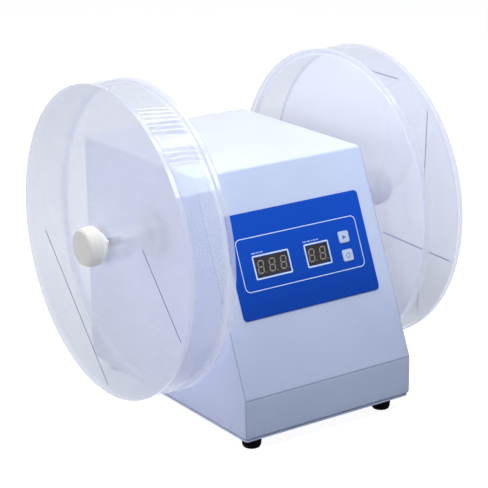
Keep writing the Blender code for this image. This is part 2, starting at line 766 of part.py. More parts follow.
def build_shaft():
    """The shaft: a thick middle, a journal at each bearing and hub, and a thin spindle through each drum."""
    shoulder_end = UPRIGHT_INNER - GAP
    journal_end = HUB_STEP - GAP
    half = [
        (SPINDLE_RADIUS, SPINDLE_END),
        (SPINDLE_RADIUS, journal_end),
        (JOURNAL_RADIUS, journal_end),
        (JOURNAL_RADIUS, shoulder_end),
        (SHOULDER_RADIUS, shoulder_end),
    ]
    lower = [(radius, -height) for radius, height in reversed(half)]
    profile = [(0.0, SPINDLE_END)] + half + lower + [(0.0, -SPINDLE_END)]
    turned("main_shaft", profile, TURNED_STEEL, on_axis(), OUTWARD_TURN["right"], 20)


def build_bearing(side):
    """A shielded ball bearing between the upright and the shaft's journal."""
    inner = JOURNAL_RADIUS + GAP
    inner_race = inner + RACE_THICK
    outer_race = BEARING_RADIUS - RACE_THICK
    near, far = UPRIGHT_INNER, UPRIGHT_OUTER
    profile = [
        (inner, far),
        (inner_race, far),
        (inner_race, far - SHIELD_RECESS),
        (outer_race, far - SHIELD_RECESS),
        (outer_race, far),
        (BEARING_RADIUS, far),
        (BEARING_RADIUS, near),
        (outer_race, near),
        (outer_race, near + SHIELD_RECESS),
        (inner_race, near + SHIELD_RECESS),
        (inner_race, near),
        (inner, near),
    ]
    turned(f"{side}_bearing", profile, TURNED_STEEL, on_axis(), OUTWARD_TURN[side], 18)


def upright_outline():
    """A bearing upright seen along the shaft: a block foot, straight sides and a round head."""
    head = BEARING_RADIUS + GAP + UPRIGHT_RIM
    foot_bottom = BASE_TOP + GAP - AXIS_HEIGHT
    foot_top = foot_bottom + UPRIGHT_FOOT_HEIGHT
    half_foot = UPRIGHT_FOOT_WIDTH / 2
    corner_angle = math.atan2(foot_top, half_foot)
    touch = corner_angle + math.acos(head / math.hypot(foot_top, half_foot))
    right_side = [(half_foot, foot_bottom), (half_foot, foot_top)]
    left_side = [(-half_foot, foot_top), (-half_foot, foot_bottom)]
    return right_side + arc((0.0, 0.0), head, touch, math.pi - touch, 16) + left_side


def build_upright(side):
    """The plate that carries one bearing on the base plate."""
    outlines = [upright_outline(), circle((0.0, 0.0), BEARING_RADIUS + GAP, 24)]
    across = SIDE_SIGN[side] * (UPRIGHT_INNER + UPRIGHT_OUTER) / 2
    flat(f"{side}_bearing_upright", outlines, BEARING_WIDTH, ALUMINIUM, on_axis(across=across), ACROSS_TURN)


def build_hub(side):
    """The hub that carries a drum: a boss on the journal, a flange against the drum and a driving pin."""
    start = HOUSING_SIDE + HUB_CLEARANCE
    profile = [
        (SPINDLE_RADIUS + GAP, HUB_FACE),
        (HUB_FLANGE_RADIUS, HUB_FACE),
        (HUB_FLANGE_RADIUS, HUB_FACE - HUB_FLANGE),
        (HUB_BOSS_RADIUS, HUB_FACE - HUB_FLANGE),
        (HUB_BOSS_RADIUS, start),
        (JOURNAL_RADIUS + GAP, start),
        (JOURNAL_RADIUS + GAP, HUB_STEP),
        (SPINDLE_RADIUS + GAP, HUB_STEP),
    ]
    hub = turned(f"{side}_drum_hub", profile, ALUMINIUM, on_axis(), OUTWARD_TURN[side], 20)
    pin_start = HUB_FACE - HUB_LEDGE / 2
    pin_end = DISC_INNER_FACE + HUB_PIN_REACH
    pin_place = (SIDE_SIGN[side] * (pin_start + pin_end) / 2, HUB_PIN_CIRCLE, AXIS_HEIGHT)
    length = pin_end - pin_start
    join_rod(hub, f"{side}_hub_pin", HUB_PIN_RADIUS, length, pin_place, OUTWARD_TURN["right"], 12)


# Drums


def build_drum_shell(side):
    """The fixed parts of a drum: its back disc, its round wall and the ring round the spindle."""
    across = SIDE_SIGN[side] * (DISC_INNER_FACE + DISC_THICK / 2)
    disc = [
        circle((0.0, 0.0), DISC_RADIUS, DRUM_STEPS),
        circle((0.0, 0.0), SPINDLE_RADIUS + GAP, 20),
        circle((HUB_PIN_CIRCLE, 0.0), HUB_PIN_RADIUS + GAP, 12),
    ]
    flat(f"{side}_drum_back_disc", disc, DISC_THICK, ACRYLIC, on_axis(across=across), ACROSS_TURN)
    wall_start = DRUM_FLOOR + GAP
    wall_end = LID_INNER_FACE - GAP
    wall = [
        (DRUM_INNER_RADIUS, wall_end),
        (DRUM_OUTER_RADIUS, wall_end),
        (DRUM_OUTER_RADIUS, wall_start),
        (DRUM_INNER_RADIUS, wall_start),
    ]
    turned(f"{side}_drum_wall", wall, ACRYLIC, on_axis(), OUTWARD_TURN[side], DRUM_STEPS)
    ring_end = LID_INNER_FACE - GAP
    ring = [
        (RING_RADIUS - RING_WALL, ring_end),
        (RING_RADIUS, ring_end),
        (RING_RADIUS, wall_start),
        (RING_RADIUS - RING_WALL, wall_start),
    ]
    turned(f"{side}_drum_centre_ring", ring, ACRYLIC, on_axis(), OUTWARD_TURN[side], 24)


def meeting_angle(reach, arc_radius):
    """The angle about the axis from the scoop's centre to where an arc about that centre is so far out."""
    offset = SCOOP_RADIUS
    return math.acos((reach**2 + offset**2 - arc_radius**2) / (2 * reach * offset))


def scoop_edge(direction, arc_radius):
    """Points on one face of the scoop, from the ring to the drum wall, seen from the right."""
    centre = (SCOOP_RADIUS * math.cos(direction), SCOOP_RADIUS * math.sin(direction))
    ends = []
    for reach in (RING_RADIUS + GAP, DRUM_INNER_RADIUS - GAP):
        bearing = direction + meeting_angle(reach, arc_radius)
        point = (reach * math.cos(bearing), reach * math.sin(bearing))
        ends.append(math.atan2(point[1] - centre[1], point[0] - centre[0]))
    start, end = ends
    while end > start:
        end -= 2 * math.pi
    return arc(centre, arc_radius, start, end, SCOOP_STEPS)


def build_scoop(side):
    """The curved projection from the middle of the drum to its wall; its circle passes through the axis."""
    direction = math.radians(SCOOP_DIRECTION_DEG[side])
    inner = scoop_edge(direction, SCOOP_RADIUS)
    outer = scoop_edge(direction, SCOOP_RADIUS + SCOOP_THICK)
    start = DRUM_FLOOR + GAP
    end = LID_INNER_FACE - GAP
    middle = on_axis(across=SIDE_SIGN[side] * (start + end) / 2)
    flat(f"{side}_drum_scoop", [inner + outer[::-1]], end - start, ACRYLIC, middle, ACROSS_TURN)


def build_lid(side):
    """The lid, a flat disc that the knob holds against the drum wall's end."""
    bore = SPINDLE_RADIUS + GAP
    profile = [
        (bore, LID_OUTER_FACE),
        (DISC_RADIUS, LID_OUTER_FACE),
        (DISC_RADIUS, LID_INNER_FACE),
        (bore, LID_INNER_FACE),
    ]
    turned(f"{side}_drum_lid", profile, ACRYLIC, on_axis(), OUTWARD_TURN[side], DRUM_STEPS)


def build_knob(side):
    """The screw knob on the spindle's end, and the washer between it and the lid."""
    bore = SPINDLE_RADIUS + GAP
    washer_start = LID_OUTER_FACE + GAP
    washer = [
        (bore, washer_start + WASHER_THICK),
        (WASHER_RADIUS, washer_start + WASHER_THICK),
        (WASHER_RADIUS, washer_start),
        (bore, washer_start),
    ]
    turned(f"{side}_knob_washer", washer, WASHER_PLASTIC, on_axis(), OUTWARD_TURN[side], 20)
    face = KNOB_FOOT + KNOB_LENGTH
    shoulder = KNOB_FOOT + KNOB_NECK
    thread_end = SPINDLE_END + GAP
    knob = [
        (0.0, face),
        (KNOB_FACE_RADIUS, face),
        (KNOB_FRONT_RADIUS, face - KNOB_FRONT_CHAMFER),
        (KNOB_RADIUS, face - KNOB_FRONT_CHAMFER - KNOB_CROWN),
        (KNOB_RADIUS, shoulder + KNOB_REAR_TAPER),
        (KNOB_REAR_RADIUS, shoulder),
        (KNOB_NECK_RADIUS, shoulder),
        (KNOB_NECK_RADIUS, KNOB_FOOT),
        (bore, KNOB_FOOT),
        (bore, thread_end),
        (0.0, thread_end),
    ]
    turned(f"{side}_knob", knob, KNOB_PLASTIC, on_axis(), OUTWARD_TURN[side], 24)


# Drive


def involute(angle):
    """The involute function of a pressure angle."""
    return math.tan(angle) - angle


def gear_outline(teeth, first_tooth_angle):
    """Points round a spur gear with involute flanks, a tooth centred on the first angle."""
    pressure = math.radians(PRESSURE_ANGLE_DEG)
    pitch = GEAR_MODULE * teeth / 2
    base = pitch * math.cos(pressure)
    tip = pitch + GEAR_MODULE
    root = pitch - DEDENDUM_SHARE * GEAR_MODULE
    half_tooth = math.pi / (2 * teeth) - TOOTH_THINNING / (2 * pitch)
    flank_start = max(base, root)
    flank = []
    for reach in (flank_start, pitch, tip):
        lean = math.acos(min(1.0, base / reach))
        flank.append((reach, half_tooth + involute(pressure) - involute(lean)))
    if root < flank_start:
        flank.insert(0, (root, flank[0][1]))
    points = []
    for tooth in range(teeth):
        middle = first_tooth_angle + 2 * math.pi * tooth / teeth
        rising = [(reach, middle - half) for reach, half in flank]
        falling = [(reach, middle + half) for reach, half in reversed(flank)]
        points += [(reach * math.cos(turn), reach * math.sin(turn)) for reach, turn in rising + falling]
    return points


def build_gears():
    """The driven gear on the shaft and the motor's pinion straight below it, in mesh."""
    shaft_bore = SHOULDER_RADIUS + GAP
    gear = flat(
        "driven_gear",
        [gear_outline(GEAR_TEETH, -math.pi / 2), circle((0.0, 0.0), shaft_bore, 20)],
        GEAR_WIDTH,
        GEAR_PLASTIC,
        on_axis(across=GEAR_MIDDLE),
        ACROSS_TURN,
    )
    boss_start = GEAR_MIDDLE
    boss_end = GEAR_MIDDLE + GEAR_WIDTH / 2 + GEAR_BOSS
    boss = [
        (shaft_bore, boss_end),
        (GEAR_BOSS_RADIUS, boss_end),
        (GEAR_BOSS_RADIUS, boss_start),
        (shaft_bore, boss_start),
    ]
    join(gear, turned("gear_boss", boss, None, on_axis(), OUTWARD_TURN["right"], 20, CUTTERS))
    width = GEAR_WIDTH + PINION_EXTRA_WIDTH
    gap_tooth = math.pi / 2 + math.pi / PINION_TEETH
    pinion = flat(
        "drive_pinion",
        [gear_outline(PINION_TEETH, gap_tooth)],
        width,
        TURNED_STEEL,
        on_axis(PINION_HEIGHT, GEAR_MIDDLE),
        ACROSS_TURN,
    )
    stem_start = motor_face() + NOSE_FLOOR + GAP
    stem_end = GEAR_MIDDLE
    middle = on_axis(PINION_HEIGHT, (stem_start + stem_end) / 2)
    length = stem_end - stem_start
    join_rod(pinion, "pinion_stem", OUTPUT_RADIUS, length, middle, OUTWARD_TURN["right"], 16)


def bracket_face():
    """How far right the motor bracket's pinion side lies."""
    return GEAR_MIDDLE - (GEAR_WIDTH + PINION_EXTRA_WIDTH) / 2 - PINION_STANDOFF


def motor_face():
    """How far right the gearbox's mounting face lies."""
    return bracket_face() - BRACKET_SHEET - GAP


def build_gear_motor():
    """A round gear motor with an offset output, lying under the shaft."""
    face = motor_face()
    gearbox_end = face - GEARBOX_LENGTH
    can_end = gearbox_end - MOTOR_LENGTH
    profile = [
        (0.0, face),
        (GEARBOX_RADIUS - MOTOR_EDGE, face),
        (GEARBOX_RADIUS, face - MOTOR_EDGE),
        (GEARBOX_RADIUS, gearbox_end),
        (MOTOR_RADIUS, gearbox_end),
        (MOTOR_RADIUS, can_end + MOTOR_EDGE),
        (MOTOR_RADIUS - MOTOR_EDGE, can_end),
        (MOTOR_CAP_RADIUS, can_end),
        (MOTOR_CAP_RADIUS, can_end - MOTOR_CAP),
        (0.0, can_end - MOTOR_CAP),
    ]
    motor = turned("gear_motor", profile, MOTOR_GREY, on_axis(MOTOR_HEIGHT), OUTWARD_TURN["right"], 24)
    nose_end = face + NOSE_LENGTH
    nose_start = face - MOTOR_EDGE
    middle = on_axis(PINION_HEIGHT, (nose_start + nose_end) / 2)
    length = nose_end - nose_start
    join_rod(motor, "motor_nose", NOSE_RADIUS, length, middle, OUTWARD_TURN["right"], 20)
    bore_start = face + NOSE_FLOOR
    bore_end = nose_end + CUT_OVERRUN
    middle = on_axis(PINION_HEIGHT, (bore_start + bore_end) / 2)
    length = bore_end - bore_start
    drill(motor, "motor_nose_bore", OUTPUT_RADIUS + GAP, length, middle, OUTWARD_TURN["right"], 16)


def build_motor_bracket():
    """An angle bracket folded from sheet: a face for the motor and a foot on the base plate."""
    top = MOTOR_HEIGHT + BRACKET_RISE
    floor = BASE_TOP + GAP
    face = bracket_face()
    foot_end = face + BRACKET_FOOT
    outer = [(face - BRACKET_SHEET, top), (face - BRACKET_SHEET, floor), (foot_end, floor)]
    inner = [(foot_end, floor + BRACKET_SHEET), (face, floor + BRACKET_SHEET), (face, top)]
    bracket = flat("motor_bracket", [outer + inner], BRACKET_WIDTH, BARE_STEEL, (0.0, 0.0, 0.0), FRONT_TURN)
    middle = on_axis(PINION_HEIGHT, face - BRACKET_SHEET / 2)
    through = BRACKET_SHEET + CUT_OVERRUN
    drill(bracket, "bracket_nose_hole", NOSE_RADIUS + GAP, through, middle, OUTWARD_TURN["right"], 20)


def build_counter():
    """The slotted counting disc on the shaft, and the light barrier that its rim passes through."""
    slot_floor = COUNT_DISC_RADIUS - COUNT_SLOT_DEPTH
    half_slot = COUNT_SLOT_WIDTH / 2
    rim_angle = math.asin(half_slot / COUNT_DISC_RADIUS)
    rim = arc((0.0, 0.0), COUNT_DISC_RADIUS, rim_angle - math.pi / 2, 3 * math.pi / 2 - rim_angle, 28)
    notch = [(-half_slot, -slot_floor), (half_slot, -slot_floor)]
    bore = SHOULDER_RADIUS + GAP
    disc = flat(
        "count_disc",
        [rim + notch, circle((0.0, 0.0), bore, 20)],
        COUNT_DISC_THICK,
        BLACK_PLASTIC,
        on_axis(across=-COUNT_DISC_MIDDLE),
        ACROSS_TURN,
    )
    boss_end = COUNT_DISC_MIDDLE - COUNT_BOSS
    boss = [
        (bore, COUNT_DISC_MIDDLE),
        (COUNT_BOSS_RADIUS, COUNT_DISC_MIDDLE),
        (COUNT_BOSS_RADIUS, boss_end),
        (bore, boss_end),
    ]
    join(disc, turned("count_boss", boss, None, on_axis(), OUTWARD_TURN["left"], 20, CUTTERS))
    outer = UPRIGHT_INNER - GAP
    inner = COUNT_DISC_MIDDLE - SENSOR_SLOT / 2 - SENSOR_ARM
    top = AXIS_HEIGHT - COUNT_DISC_RADIUS + SENSOR_OVERLAP
    sensor = block(
        "photo_sensor",
        (outer - inner, SENSOR_WIDTH, SENSOR_HEIGHT),
        BLACK_PLASTIC,
        (-(outer + inner) / 2, 0.0, top - SENSOR_HEIGHT / 2),
        UPRIGHT_TURN,
    )
    size = (SENSOR_SLOT, SENSOR_WIDTH + CUT_OVERRUN, SENSOR_SLOT_DEPTH + CUT_OVERRUN)
    middle = (-COUNT_DISC_MIDDLE, 0.0, top - (SENSOR_SLOT_DEPTH - CUT_OVERRUN) / 2)
    carve(sensor, "sensor_slot", size, middle)


def build_power_supply():
    """The power supply in its case on the base plate, with a step for its terminals."""
    floor = BASE_TOP + GAP
    back = SUPPLY_BEHIND_AXIS + SUPPLY_WIDTH / 2
    case = block(
        "power_supply",
        (SUPPLY_LENGTH, SUPPLY_WIDTH, SUPPLY_HEIGHT),
        ALUMINIUM,
        (-SUPPLY_ACROSS, back, floor + SUPPLY_HEIGHT / 2),
        UPRIGHT_TURN,
    )
    step_height = SUPPLY_HEIGHT - SUPPLY_TERMINAL_HEIGHT + CUT_OVERRUN
    step_across = SUPPLY_LENGTH / 2 - SUPPLY_ACROSS - (SUPPLY_TERMINAL - CUT_OVERRUN) / 2
    size = (SUPPLY_TERMINAL + CUT_OVERRUN, SUPPLY_WIDTH + CUT_OVERRUN, step_height)
    middle = (step_across, back, floor + SUPPLY_TERMINAL_HEIGHT + step_height / 2)
    bevelled(carve(case, "supply_step", size, middle), SUPPLY_EDGE, 1)


# Rear panel


PANEL_FACE = AXIS_TO_BACK + GAP + PANEL_THICK
PANEL_WIDTH = BODY_WIDTH - 2 * PANEL_MARGIN
PANEL_HEIGHT = BODY_TOP - BODY_BOTTOM - 2 * PANEL_MARGIN
PANEL_MIDDLE = (BODY_TOP + BODY_BOTTOM) / 2
PANEL_ROW = BODY_BOTTOM + PANEL_ROW_UP
INLET_ACROSS = PANEL_WIDTH * INLET_ACROSS_SHARE
SWITCH_ACROSS = PANEL_WIDTH * SWITCH_ACROSS_SHARE
FUSE_ACROSS = PANEL_WIDTH * FUSE_ACROSS_SHARE


def panel_screw_places():
    """Each rear screw's name and place."""
    places = []
    for row, up in (("upper", 1), ("lower", -1)):
        for side, sign in SIDE_SIGN.items():
            across = sign * (PANEL_WIDTH / 2 - PANEL_SCREW_INSET)
            height = PANEL_MIDDLE + up * (PANEL_HEIGHT / 2 - PANEL_SCREW_INSET)
            places.append((f"rear_screw_{row}_{side}", across, height))
    return places


def build_rear_panel():
    """The rear panel with its cut-outs, screw holes and vent slots, drawn as seen from behind."""
    lap = 2 * GAP
    row = PANEL_ROW - PANEL_MIDDLE
    outlines = [
        rounded_rectangle((0.0, 0.0), PANEL_WIDTH, PANEL_HEIGHT, PANEL_CORNER),
        rounded_rectangle((-INLET_ACROSS, row), INLET_WIDTH + lap, INLET_HEIGHT + lap, INLET_CORNER + GAP, 2),
        rounded_rectangle((-SWITCH_ACROSS, row), SWITCH_WIDTH + lap, SWITCH_HEIGHT + lap, GAP, 1),
        circle((-FUSE_ACROSS, row), FUSE_BODY_RADIUS + GAP, 18),
    ]
    for _, across, height in panel_screw_places():
        outlines.append(circle((-across, height - PANEL_MIDDLE), PANEL_SCREW_RADIUS + GAP, 8))
    for slot in range(VENT_COUNT):
        up = PANEL_HEIGHT / 2 - PANEL_VENT_DOWN - slot * VENT_PITCH
        outlines.append(rounded_rectangle((0.0, up), PANEL_VENT_LENGTH, VENT_WIDTH, VENT_END, 2))
    middle = (0.0, PANEL_FACE - PANEL_THICK / 2, PANEL_MIDDLE)
    flat("rear_panel", outlines, PANEL_THICK, POWDER_COAT, middle, REAR_TURN)


def build_rear_screws():
    """Four pan head screws through the rear panel into the housing's lip."""
    head = PANEL_SCREW_HEAD
    profile = [
        (0.0, GAP + head),
        (PANEL_SCREW_RADIUS, GAP + head),
        (PANEL_SCREW_HEAD_RADIUS, GAP + head / 2),
        (PANEL_SCREW_HEAD_RADIUS, GAP),
        (PANEL_SCREW_RADIUS, GAP),
        (PANEL_SCREW_RADIUS, -PANEL_THICK - GAP - SHEET - PANEL_SCREW_END),
        (0.0, -PANEL_THICK - GAP - SHEET - PANEL_SCREW_END),
    ]
    for name, across, height in panel_screw_places():
        turned(name, profile, BARE_STEEL, (across, PANEL_FACE, height), REAR_TURN, 10)


def build_power_inlet():
    """The three pin inlet: a flange on the panel, a body through it, the socket and its pins."""
    front = PANEL_FACE + GAP
    mouth = front + INLET_FLANGE
    back = mouth - INLET_DEPTH
    body_outline = rounded_rectangle((0.0, 0.0), INLET_WIDTH, INLET_HEIGHT, INLET_CORNER, 2)
    middle = (INLET_ACROSS, (mouth + back) / 2, PANEL_ROW)
    body = flat("power_inlet", [body_outline], INLET_DEPTH, BLACK_PLASTIC, middle, REAR_TURN)
    lap = 2 * INLET_FLANGE_LAP
    flange_outline = rounded_rectangle(
        (0.0, 0.0), INLET_WIDTH + lap, INLET_HEIGHT + lap, INLET_CORNER + INLET_FLANGE_LAP, 2
    )
    middle = (INLET_ACROSS, (front + mouth) / 2, PANEL_ROW)
    flange = flat("inlet_flange", [flange_outline], INLET_FLANGE, None, middle, REAR_TURN, CUTTERS)
    half_width = SOCKET_WIDTH / 2
    half_height = SOCKET_HEIGHT / 2
    socket_outline = [
        (half_width, -half_height),
        (half_width, half_height - SOCKET_CHAMFER),
        (half_width - SOCKET_CHAMFER, half_height),
        (SOCKET_CHAMFER - half_width, half_height),
        (-half_width, half_height - SOCKET_CHAMFER),
        (-half_width, -half_height),
    ]
    socket_floor = mouth - SOCKET_DEPTH
    socket_end = mouth + CUT_OVERRUN
    middle = (INLET_ACROSS, (socket_floor + socket_end) / 2, PANEL_ROW)
    depth = socket_end - socket_floor
    socket = flat("inlet_socket", [socket_outline], depth, None, middle, REAR_TURN, CUTTERS)
    cut(join(body, flange), socket)
    pin_start = (socket_floor + back) / 2
    pin_end = socket_floor + INLET_PIN_LENGTH
    size = (INLET_PIN_THICK, pin_end - pin_start, INLET_PIN_HEIGHT)
    for pin, up in ((-1, 0.0), (0, INLET_EARTH_UP), (1, 0.0)):
        middle = (INLET_ACROSS + pin * INLET_PIN_SPACING, (pin_start + pin_end) / 2, PANEL_ROW + up)
        join_block(body, f"inlet_pin_{pin + 2}", size, middle)


def build_power_switch():
    """The rocker switch: a frame set in the panel and a rocker on a cross pivot, at rest switched off."""
    front = PANEL_FACE + GAP
    mouth = front + SWITCH_FLANGE
    back = mouth - SWITCH_DEPTH
    middle = (SWITCH_ACROSS, (mouth + back) / 2, PANEL_ROW)
    size = (SWITCH_WIDTH, SWITCH_DEPTH, SWITCH_HEIGHT)
    frame = block("switch_frame", size, BLACK_PLASTIC, middle, UPRIGHT_TURN)
    lap = 2 * SWITCH_FLANGE_LAP
    size = (SWITCH_WIDTH + lap, SWITCH_FLANGE, SWITCH_HEIGHT + lap)
    middle = (SWITCH_ACROSS, (front + mouth) / 2, PANEL_ROW)
    join_block(frame, "switch_flange", size, middle)
    pocket_width = SWITCH_WIDTH - 2 * SWITCH_RIM
    pocket_height = SWITCH_HEIGHT - 2 * SWITCH_RIM
    pocket_floor = mouth - SWITCH_POCKET_DEPTH
    pocket_end = mouth + CUT_OVERRUN
    size = (pocket_width, pocket_end - pocket_floor, pocket_height)
    middle = (SWITCH_ACROSS, (pocket_floor + pocket_end) / 2, PANEL_ROW)
    carve(frame, "switch_pocket", size, middle)
    pivot = (SWITCH_ACROSS, PANEL_FACE, PANEL_ROW)
    rocker_width = pocket_width - 2 * GAP
    pivot_length = rocker_width + 2 * ROCKER_PIVOT_REACH
    hole_length = pivot_length + 2 * GAP
    hole_radius = ROCKER_PIVOT_RADIUS + GAP
    drill(frame, "rocker_pivot_hole", hole_radius, hole_length, pivot, OUTWARD_TURN["right"], 12)
    half = pocket_height / 2 - ROCKER_END / 2
    outline = [
        (-ROCKER_BACK, half / 2),
        (-ROCKER_BACK, -half / 2),
        (0.0, -half),
        (ROCKER_END, -half),
        (ROCKER_MIDDLE, 0.0),
        (ROCKER_END, half),
        (0.0, half),
    ]
    tilted_turn = (math.pi / 2, math.radians(ROCKER_TILT_DEG), math.pi / 2)
    rocker = flat("power_rocker", [outline], rocker_width, BLACK_PLASTIC, pivot, tilted_turn)
    join_rod(rocker, "rocker_pivot", ROCKER_PIVOT_RADIUS, pivot_length, pivot, OUTWARD_TURN["right"], 12)


def build_fuse_holder():
    """The fuse holder through the panel, and its slotted bayonet cap."""
    front = GAP
    mouth = front + FUSE_FLANGE
    panel_place = (FUSE_ACROSS, PANEL_FACE, PANEL_ROW)
    bore_floor = mouth - FUSE_BORE_DEPTH
    holder = [
        (0.0, bore_floor),
        (FUSE_BORE_RADIUS, bore_floor),
        (FUSE_BORE_RADIUS, mouth),
        (FUSE_FLANGE_RADIUS, mouth),
        (FUSE_FLANGE_RADIUS, front),
        (FUSE_BODY_RADIUS, front),
        (FUSE_BODY_RADIUS, mouth - FUSE_DEPTH),
        (0.0, mouth - FUSE_DEPTH),
    ]
    turned("fuse_holder", holder, BLACK_PLASTIC, panel_place, REAR_TURN, 18)
    seat = mouth + GAP
    top = seat + FUSE_CAP_HEIGHT
    stem_radius = FUSE_BORE_RADIUS - GAP
    cap = [
        (0.0, top),
        (FUSE_CAP_RADIUS - FUSE_CAP_EDGE, top),
        (FUSE_CAP_RADIUS, top - FUSE_CAP_EDGE),
        (FUSE_CAP_RADIUS, seat),
        (stem_radius, seat),
        (stem_radius, seat - FUSE_STEM),
        (0.0, seat - FUSE_STEM),
    ]
    cap = turned("fuse_cap", cap, BLACK_PLASTIC, panel_place, REAR_TURN, 18)
    size = (2 * FUSE_CAP_RADIUS + CUT_OVERRUN, 2 * FUSE_SLOT_DEPTH, FUSE_SLOT_WIDTH)
    carve(cap, "fuse_cap_slot", size, (FUSE_ACROSS, PANEL_FACE + top, PANEL_ROW))


def build_tester():
    """Builds every piece."""
    build_housing_shell()
    build_base_plate()
    build_feet()
    build_label()
    build_displays()
    build_buttons()
    build_control_board()
    build_shaft()
    for side in SIDE_SIGN:
        build_bearing(side)
        build_upright(side)
        build_hub(side)
        build_drum_shell(side)
        build_scoop(side)
        build_lid(side)
        build_knob(side)
    build_gears()
    build_gear_motor()
    build_motor_bracket()
    build_counter()
    build_power_supply()
    build_rear_panel()
    build_rear_screws()
    build_power_inlet()
    build_power_switch()
    build_fuse_holder()
    bpy.context.view_layer.update()


build_tester()
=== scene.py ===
# %% [markdown]
# # A tablet friability tester
#
# The machine tumbles tablets in two clear drums and so shows how fast they wear. Its solids were built and
# packed beforehand. This lesson loads them as a fixed frame, gives each surface its finish, rebuilds the
# round and rounded pieces with finer meshes, and sets up a small studio round them. Each step says what the
# real piece is, how it could be made in Blender and why one way was chosen.

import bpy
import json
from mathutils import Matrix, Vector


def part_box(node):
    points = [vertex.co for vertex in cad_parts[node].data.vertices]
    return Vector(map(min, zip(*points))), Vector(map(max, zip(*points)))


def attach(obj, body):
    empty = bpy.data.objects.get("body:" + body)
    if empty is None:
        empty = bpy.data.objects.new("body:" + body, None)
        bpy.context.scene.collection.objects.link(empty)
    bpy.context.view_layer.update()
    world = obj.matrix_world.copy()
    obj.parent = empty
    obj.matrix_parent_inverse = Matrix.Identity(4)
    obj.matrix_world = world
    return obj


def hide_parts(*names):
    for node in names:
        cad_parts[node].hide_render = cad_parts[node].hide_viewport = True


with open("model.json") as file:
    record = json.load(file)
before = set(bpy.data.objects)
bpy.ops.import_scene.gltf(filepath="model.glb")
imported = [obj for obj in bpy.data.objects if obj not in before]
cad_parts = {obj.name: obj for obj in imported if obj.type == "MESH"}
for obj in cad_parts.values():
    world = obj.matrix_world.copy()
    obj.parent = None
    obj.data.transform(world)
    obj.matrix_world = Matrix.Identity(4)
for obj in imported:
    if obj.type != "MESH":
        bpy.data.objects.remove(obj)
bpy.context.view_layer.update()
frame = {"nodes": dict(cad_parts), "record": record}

# %% [markdown]
# ## Measuring before making
#
# A new piece has to sit where its solid sits. Typed sizes would drift away from the solids when those
# change, so each size that both share is read from the box of a solid instead. Most of the machine is turned
# about one shaft along X, so the useful numbers are a piece's reach out from the middle and its radius.

# %% Sizes read from the solids
import json
import math

import bmesh
import bpy
from mathutils import Matrix, Vector

MM = 0.001
SIDES = {"left": -1.0, "right": 1.0}


def reach(node):
    """Nearest and farthest distance of a solid from the middle of the machine, along the shaft."""
    low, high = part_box(node)
    return tuple(sorted((abs(low.x), abs(high.x))))


def radius(node):
    """Largest radius of a round solid about the shaft."""
    low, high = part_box(node)
    return (high.y - low.y) / 2


def middle(node):
    """The middle of a solid's box."""
    low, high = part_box(node)
    return (low + high) / 2


shaft_low, shaft_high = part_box("main_shaft")
AXIS_HEIGHT = (shaft_low.z + shaft_high.z) / 2
print("shaft axis at", round(AXIS_HEIGHT, 5), "lid reach", reach("left_drum_lid"))

# %% [markdown]
# ## The camera's place
#
# The camera's place and lens were worked out from the ellipses of the drum rims, whose real diameter is set
# by the pharmacopoeias. A tracking constraint would aim it too, but three plain angles keep the slight roll.

# %% Camera
CAMERA_PLACE = Vector((-0.9095, -1.3211, 0.6583))
AZIMUTH = math.radians(-34.67)
ELEVATION = math.radians(17.65)
ROLL = math.radians(-0.61)
LENS = 127.66
SENSOR = 36.0

camera_back = Vector((
    math.sin(AZIMUTH) * math.cos(ELEVATION),
    -math.cos(AZIMUTH) * math.cos(ELEVATION),
    math.sin(ELEVATION),
))
level_right = Vector((math.cos(AZIMUTH), math.sin(AZIMUTH), 0.0))
level_up = camera_back.cross(level_right)
camera_right = math.cos(ROLL) * level_right + math.sin(ROLL) * level_up
camera_up = camera_back.cross(camera_right)
camera = bpy.data.objects.new("camera", bpy.data.cameras.new("camera"))
camera.matrix_world = Matrix.Translation(CAMERA_PLACE) @ Matrix(
    (camera_right, camera_up, camera_back)
).transposed().to_4x4()
camera.data.lens = LENS
camera.data.sensor_width = SENSOR
bpy.context.scene.collection.objects.link(camera)
bpy.context.scene.camera = camera
print("camera", round(CAMERA_PLACE.length, 3), "m from the origin")

# %% [markdown]
# ## Node trees written as sums
#
# Materials and geometry trees both need arithmetic. Adding and wiring Math nodes by hand hides the formula,
# so one small class wraps an output socket and lets Python's own operators add the nodes. One function adds
# any other node: its settings come first, then the values or links of its sockets.


# %% Values and trees
class Value:
    """A number that a node tree works out, used in Python sums."""

    def __init__(self, tree, socket):
        self.tree = tree
        self.socket = socket

    def sum(self, operation, *others):
        node = self.tree.nodes.new("ShaderNodeMath")
        node.operation = operation
        for place, value in enumerate((self, *others)):
            feed(self.tree, node.inputs[place], value)
        return Value(self.tree, node.outputs[0])

    def __add__(self, other):
        return self.sum("ADD", other)

    def __sub__(self, other):
        return self.sum("SUBTRACT", other)

    def __rsub__(self, other):
        return (self * -1.0).sum("ADD", other)

    def __mul__(self, other):
        return self.sum("MULTIPLY", other)

    def __truediv__(self, other):
        return self.sum("DIVIDE", other)

    def __mod__(self, other):
        return self.sum("FLOORED_MODULO", other)

    def __abs__(self):
        return self.sum("ABSOLUTE")

    def __gt__(self, other):
        return self.sum("GREATER_THAN", other)

    __radd__ = __add__
    __rmul__ = __mul__

    def step(self, start, end):
        """Rises smoothly from 0 at start to 1 at end."""
        sockets = {"Value": self, "From Min": start, "From Max": end}
        ramp = add_node(self.tree, "ShaderNodeMapRange", {"interpolation_type": "SMOOTHSTEP"}, sockets)
        return Value(self.tree, ramp.outputs[0])


# %% Sockets and nodes
def feed(tree, socket, value):
    """Links a value or socket to an input, or sets the input's own value."""
    if isinstance(value, Value):
        value = value.socket
    if isinstance(value, bpy.types.NodeSocket):
        tree.links.new(value, socket)
    else:
        socket.default_value = value


